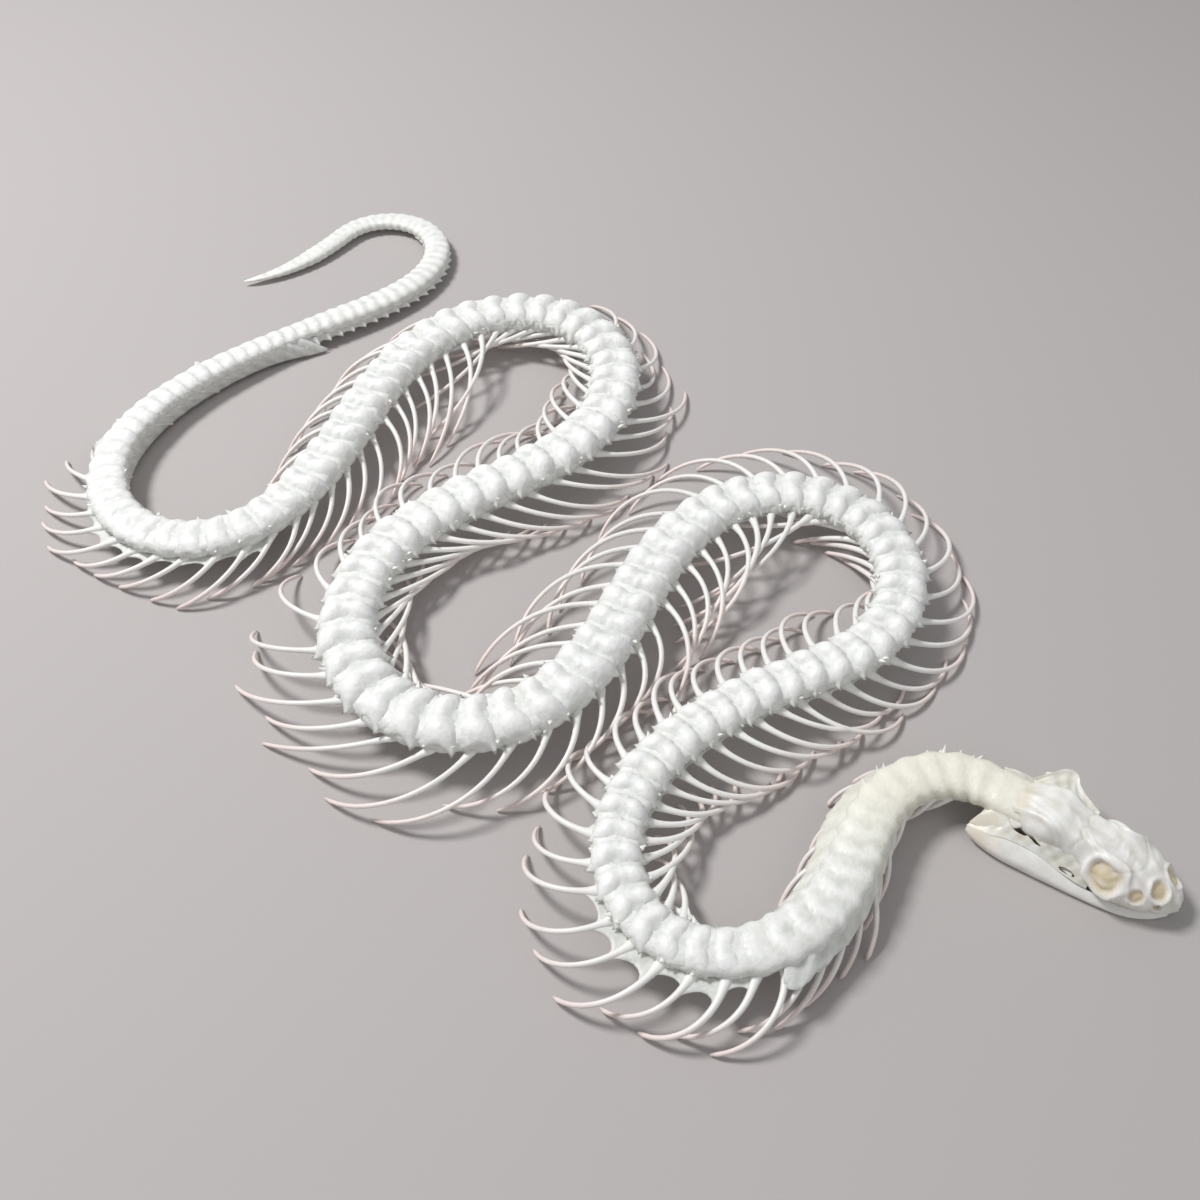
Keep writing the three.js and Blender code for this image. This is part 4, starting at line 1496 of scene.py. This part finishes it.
        # Painted light on the raised lumps and painted shade low on the sides, below about 4.4 mm;
        # the seams are darker as the skull's own dark sutures.
        painted_shading_and_tone = np.clip(0.8 + 0.2 * lumps - 0.45 * seam - 0.4 * smooth((4.4 - z) / 2.0), 0, 1)
        stain = np.maximum(0.8 * stain, 0.45 * smooth((3.2 - x) / 3.6))
        points = points + normal * push[..., None]
        return tube(self.placed(points), {"painted_shading_and_tone": painted_shading_and_tone, "stain": stain})

    def bone(self, rings: list[list[tuple[float, float, float]]], lengthwise: int) -> Shell:
        """A smooth bone through rings of a few corners.

        Args:
            rings: Corners of each ring, on the skull's frame.
            lengthwise: How many rings the bone has.

        Returns:
            The bone.
        """
        points = self.patch(np.array(rings), lengthwise, self.bone_around)
        painted_shading_and_tone = np.full(points.shape[:2], 0.85)
        stain = 0.35 * smooth((3.0 - points[..., 0]) / 4)
        return tube(self.placed(points), {"painted_shading_and_tone": painted_shading_and_tone, "stain": stain})

    def mandible(self, hand: int) -> Shell:
        """Half of the lower jaw."""
        return self.bone([
            [(x, hand * y, low), (x, hand * (y + t), (low + high) / 2),
             (x, hand * (y - lean), high), (x, hand * (y - t), (low + high) / 2)]
            for x, y, low, high, t, lean in self.mandible_rows
        ], 70)

    def quadrate(self, name: str, hand: int) -> Shell:
        """Supratemporal and quadrate of a side."""
        return self.bone([
            [(x - w, hand * y, z - t), (x + w, hand * y, z - t),
             (x + w, hand * (y + t), z + t), (x - w, hand * (y + t), z + t)]
            for x, y, z, w, t in self.quadrate_rows[name]
        ], 24)

    def pterygoid(self, hand: int) -> Shell:
        """Bar of the palate of a side."""
        return self.bone([
            [(x, hand * (y - t), z), (x, hand * y, z + t),
             (x, hand * (y + t), z), (x, hand * y, z - t)]
            for x, y, z, t in self.pterygoid_rows
        ], 30)

    def dry_sheet(self, rows: Rows, hand: int, lip: float, slots: Rows = ()) -> Shell:
        """A dried sheet stretched between an outer and an inner edge.

        Its points lie on straight lines between the two edges, sink by 0.25 times the sine
        of the way across, and rise at the outer edge by the lip times e to the power of
        minus the square of the way across over 0.12, with ripples of sines between the
        edges. Columns of points next to a hole move onto its rim, and the faces inside
        it are left out.

        Args:
            rows: Pairs of points on the outer and the inner edge, on the left side.
            hand: 1 for the left side and -1 for the right.
            lip: How far the outer edge curls up.
            slots: Holes: place along, way across, half length, half width and slant.

        Returns:
            The sheet.
        """
        lengthwise, columns = self.sheet_grid
        edges = spline(np.array(rows), np.linspace(0, len(rows) - 1, lengthwise))[:, None]
        across = np.repeat(np.linspace(0, 1, columns)[None, :], lengthwise, 0)
        x = edges[..., 0] * (1 - across) + edges[..., 3] * across
        for along, way, half_length, half_width, slant in slots:
            reach = np.sqrt(np.clip(1 - ((x - along) / half_length) ** 2, 0, 1)) * half_width
            for rim in (-1, 1):
                goal = way + slant * (x - along) + rim * reach
                near = (np.abs(across - goal) < 0.5 / (columns - 1)) & (reach > 0)
                across = np.where(near, goal, across)
        top = edges[..., :3] * (1 - across[..., None]) + edges[..., 3:] * across[..., None]
        x = top[..., 0]
        ripple = 0.10 * np.sin(2.1 * x + 5 * across) * np.sin(9 * across + 0.7 * x)
        ripple += 0.06 * np.sin(4.3 * x - 8 * across)
        middle = np.sin(math.pi * across)
        top[..., 2] += (ripple - self.sheet_sag) * middle + lip * hump(across, self.lip_width)
        kept = np.ones((lengthwise - 1, columns - 1), bool)
        stain = 0.3 * smooth((3.0 - x) / 4)
        for along, way, half_length, half_width, slant in slots:
            oval = ((x - along) / half_length) ** 2
            oval = oval + ((across - way - slant * (x - along)) / half_width) ** 2
            centre = (oval[:-1, :-1] + oval[1:, :-1] + oval[:-1, 1:] + oval[1:, 1:]) / 4
            kept &= centre > 1
            stain = np.maximum(stain, 0.7 * np.exp(-np.maximum(oval - 1, 0) / 0.9))
        # Painted light and shade: lighter on the ripples' crests, darker in their troughs and in
        # the sagging middle of the sheet.
        painted_shading_and_tone = np.clip(0.8 + 2.0 * ripple - 0.2 * middle, 0, 1)
        top[..., 1] *= hand
        values = {"painted_shading_and_tone": painted_shading_and_tone, "stain": stain}
        return pierced_sheet(self.placed(top), self.sheet_thickness, kept, values)

    def tissue(self) -> Shell:
        """Dried sheets of both cheeks and of the plate behind the left one."""
        sheets = [self.dry_sheet(self.cheek_rows, hand, 0.0, self.slots) for hand in (1, -1)]
        return Shell.join([*sheets, self.dry_sheet(self.plate_rows, 1, 0.3)])

    def build(self, finish: bpy.types.Material, dry: bpy.types.Material) -> None:
        """Makes the skull's pieces, each bone in the place of its CAD node.

        Args:
            finish: The bones' finish.
            dry: The finish of the dried sheets.
        """
        make_piece("cheek_tissue", self.tissue(), dry, [])
        make_piece("cranium_bone", self.cranium(), finish, ["cranium"])
        for name, hand in (("left", 1), ("right", -1)):
            shells = {
                "mandible": self.mandible(hand),
                "quadrate": self.quadrate(name, hand),
                "pterygoid": self.pterygoid(hand),
            }
            for part, shell in shells.items():
                make_piece(f"{part}_bone_{name}", shell, finish, [f"{part}_{name}"])


# ------------------------------------------------------------------ whole body


@dataclass
class Body:
    """Backbone, ribs and tissue, a length at a time."""

    backbone: Backbone
    ribs: Ribs
    vertebrae: Vertebrae
    ligament: Ligament

    def build(
        self, bone: bpy.types.Material, rib: bpy.types.Material, tissue: bpy.types.Material
    ) -> None:
        """Makes every length's bones, ribs and tissue.

        Args:
            bone: The finish of the vertebrae.
            rib: The finish of the ribs.
            tissue: The finish of the ligament.
        """
        stations = self.backbone.stations
        for name, start, end, ribbed in self.backbone.lengths():
            nodes = [f"{name}_{side.word}" for side in Side] if ribbed else [name]
            chosen = np.flatnonzero((stations >= start) & (stations < end))
            bones = self.vertebrae.shell(chosen)
            sleeve = self.ligament.core(start, end)
            make_piece(f"{name}_vertebrae", bones, bone, nodes)
            make_piece(f"{name}_ligament", sleeve, tissue, nodes)
            for side in Side if ribbed else ():
                node = [f"{name}_{side.word}"]
                shells = [self.ribs.shell(k, side) for k in self.ribs.bearing(start, end)]
                make_piece(f"{name}_ribs_{side.word}", Shell.join(shells), rib, node)
                webs = self.ligament.webs(start, end, side)
                if webs:
                    make_piece(f"{name}_webs_{side.word}", webs, tissue, node)


# ------------------------------------------------------------------ room


@dataclass
class Studio:
    """Pale floor, soft lights and the camera."""

    floor_size: float = 3.0
    floor_colour: tuple[float, float, float] = (0.50, 0.47, 0.46)
    floor_roughness: float = 0.85
    surround_colour: tuple[float, float, float] = (0.95, 0.97, 1.0)
    surround_strength: float = 0.34
    camera_place: tuple[float, float, float] = (0.01045, -0.13284, 0.130)
    camera_pitch: float = 48.5
    focal_share: float = 1180 / 1200
    sensor: float = 36.0

    def floor(self) -> None:
        """A plain pale floor under the skeleton."""
        mesh = bpy.data.meshes.new("floor")
        half = self.floor_size / 2
        corners = [(-half, -half, 0), (half, -half, 0), (half, half, 0), (-half, half, 0)]
        mesh.from_pydata(corners, [], [(0, 1, 2, 3)])
        material = bpy.data.materials.new("pale_floor")
        material.use_nodes = True
        shader = material.node_tree.nodes["Principled BSDF"]
        shader.inputs["Base Color"].default_value = (*self.floor_colour, 1)
        shader.inputs["Roughness"].default_value = self.floor_roughness
        mesh.materials.append(material)
        floor = bpy.data.objects.new("floor", mesh)
        bpy.context.scene.collection.objects.link(floor)

    def lamp(self, name: str, place: tuple[float, float, float], size: float, power: float) -> None:
        """A round area light that points at the origin.

        Args:
            name: Its name.
            place: Where it hangs, in metres.
            size: Its diameter, in metres.
            power: Its power, in watts.
        """
        data = bpy.data.lights.new(name, "AREA")
        data.shape = "DISK"
        data.size = size
        data.energy = power
        lamp = bpy.data.objects.new(name, data)
        lamp.location = place
        away = np.array(place) / np.linalg.norm(place)
        lamp.rotation_euler = (math.acos(away[2]), 0, math.atan2(away[1], away[0]) + math.pi / 2)
        bpy.context.scene.collection.objects.link(lamp)

    def lights(self) -> None:
        """A small key light, a large fill and a pale surround."""
        self.lamp("key", (-0.30, 0.10, 0.50), 0.16, 2.8)
        self.lamp("fill", (0.45, -0.45, 0.40), 0.6, 0.55)
        world = bpy.data.worlds.new("surround")
        world.use_nodes = True
        background = world.node_tree.nodes["Background"]
        background.inputs["Color"].default_value = (*self.surround_colour, 1)
        background.inputs["Strength"].default_value = self.surround_strength
        bpy.context.scene.world = world
        bpy.context.scene.view_settings.view_transform = "Standard"

    def camera(self) -> None:
        """The camera, looking along +Y and down at the skeleton."""
        data = bpy.data.cameras.new("camera")
        data.sensor_width = self.sensor
        data.lens = self.sensor * self.focal_share
        data.clip_start = 0.005
        camera = bpy.data.objects.new("camera", data)
        camera.location = self.camera_place
        camera.rotation_euler = (math.radians(90 - self.camera_pitch), 0, 0)
        bpy.context.scene.collection.objects.link(camera)
        bpy.context.scene.camera = camera


def main() -> None:
    """Builds the skeleton over its frame, then the room."""
    logging.basicConfig(level=logging.INFO)
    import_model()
    backbone = Backbone()
    ribs = Ribs(backbone)
    body = Body(backbone, ribs, Vertebrae(backbone), Ligament(backbone, ribs))
    tissue = TISSUE_FINISH.material()
    body.build(VERTEBRA_FINISH.material(), RIB_FINISH.material(), tissue)
    Covers(backbone, ribs).build(tissue)
    Skull(backbone).build(SKULL_FINISH.material(), DRY_SKIN_FINISH.material())
    studio = Studio()
    studio.floor()
    studio.lights()
    studio.camera()


if __name__ == "__main__":
    main()
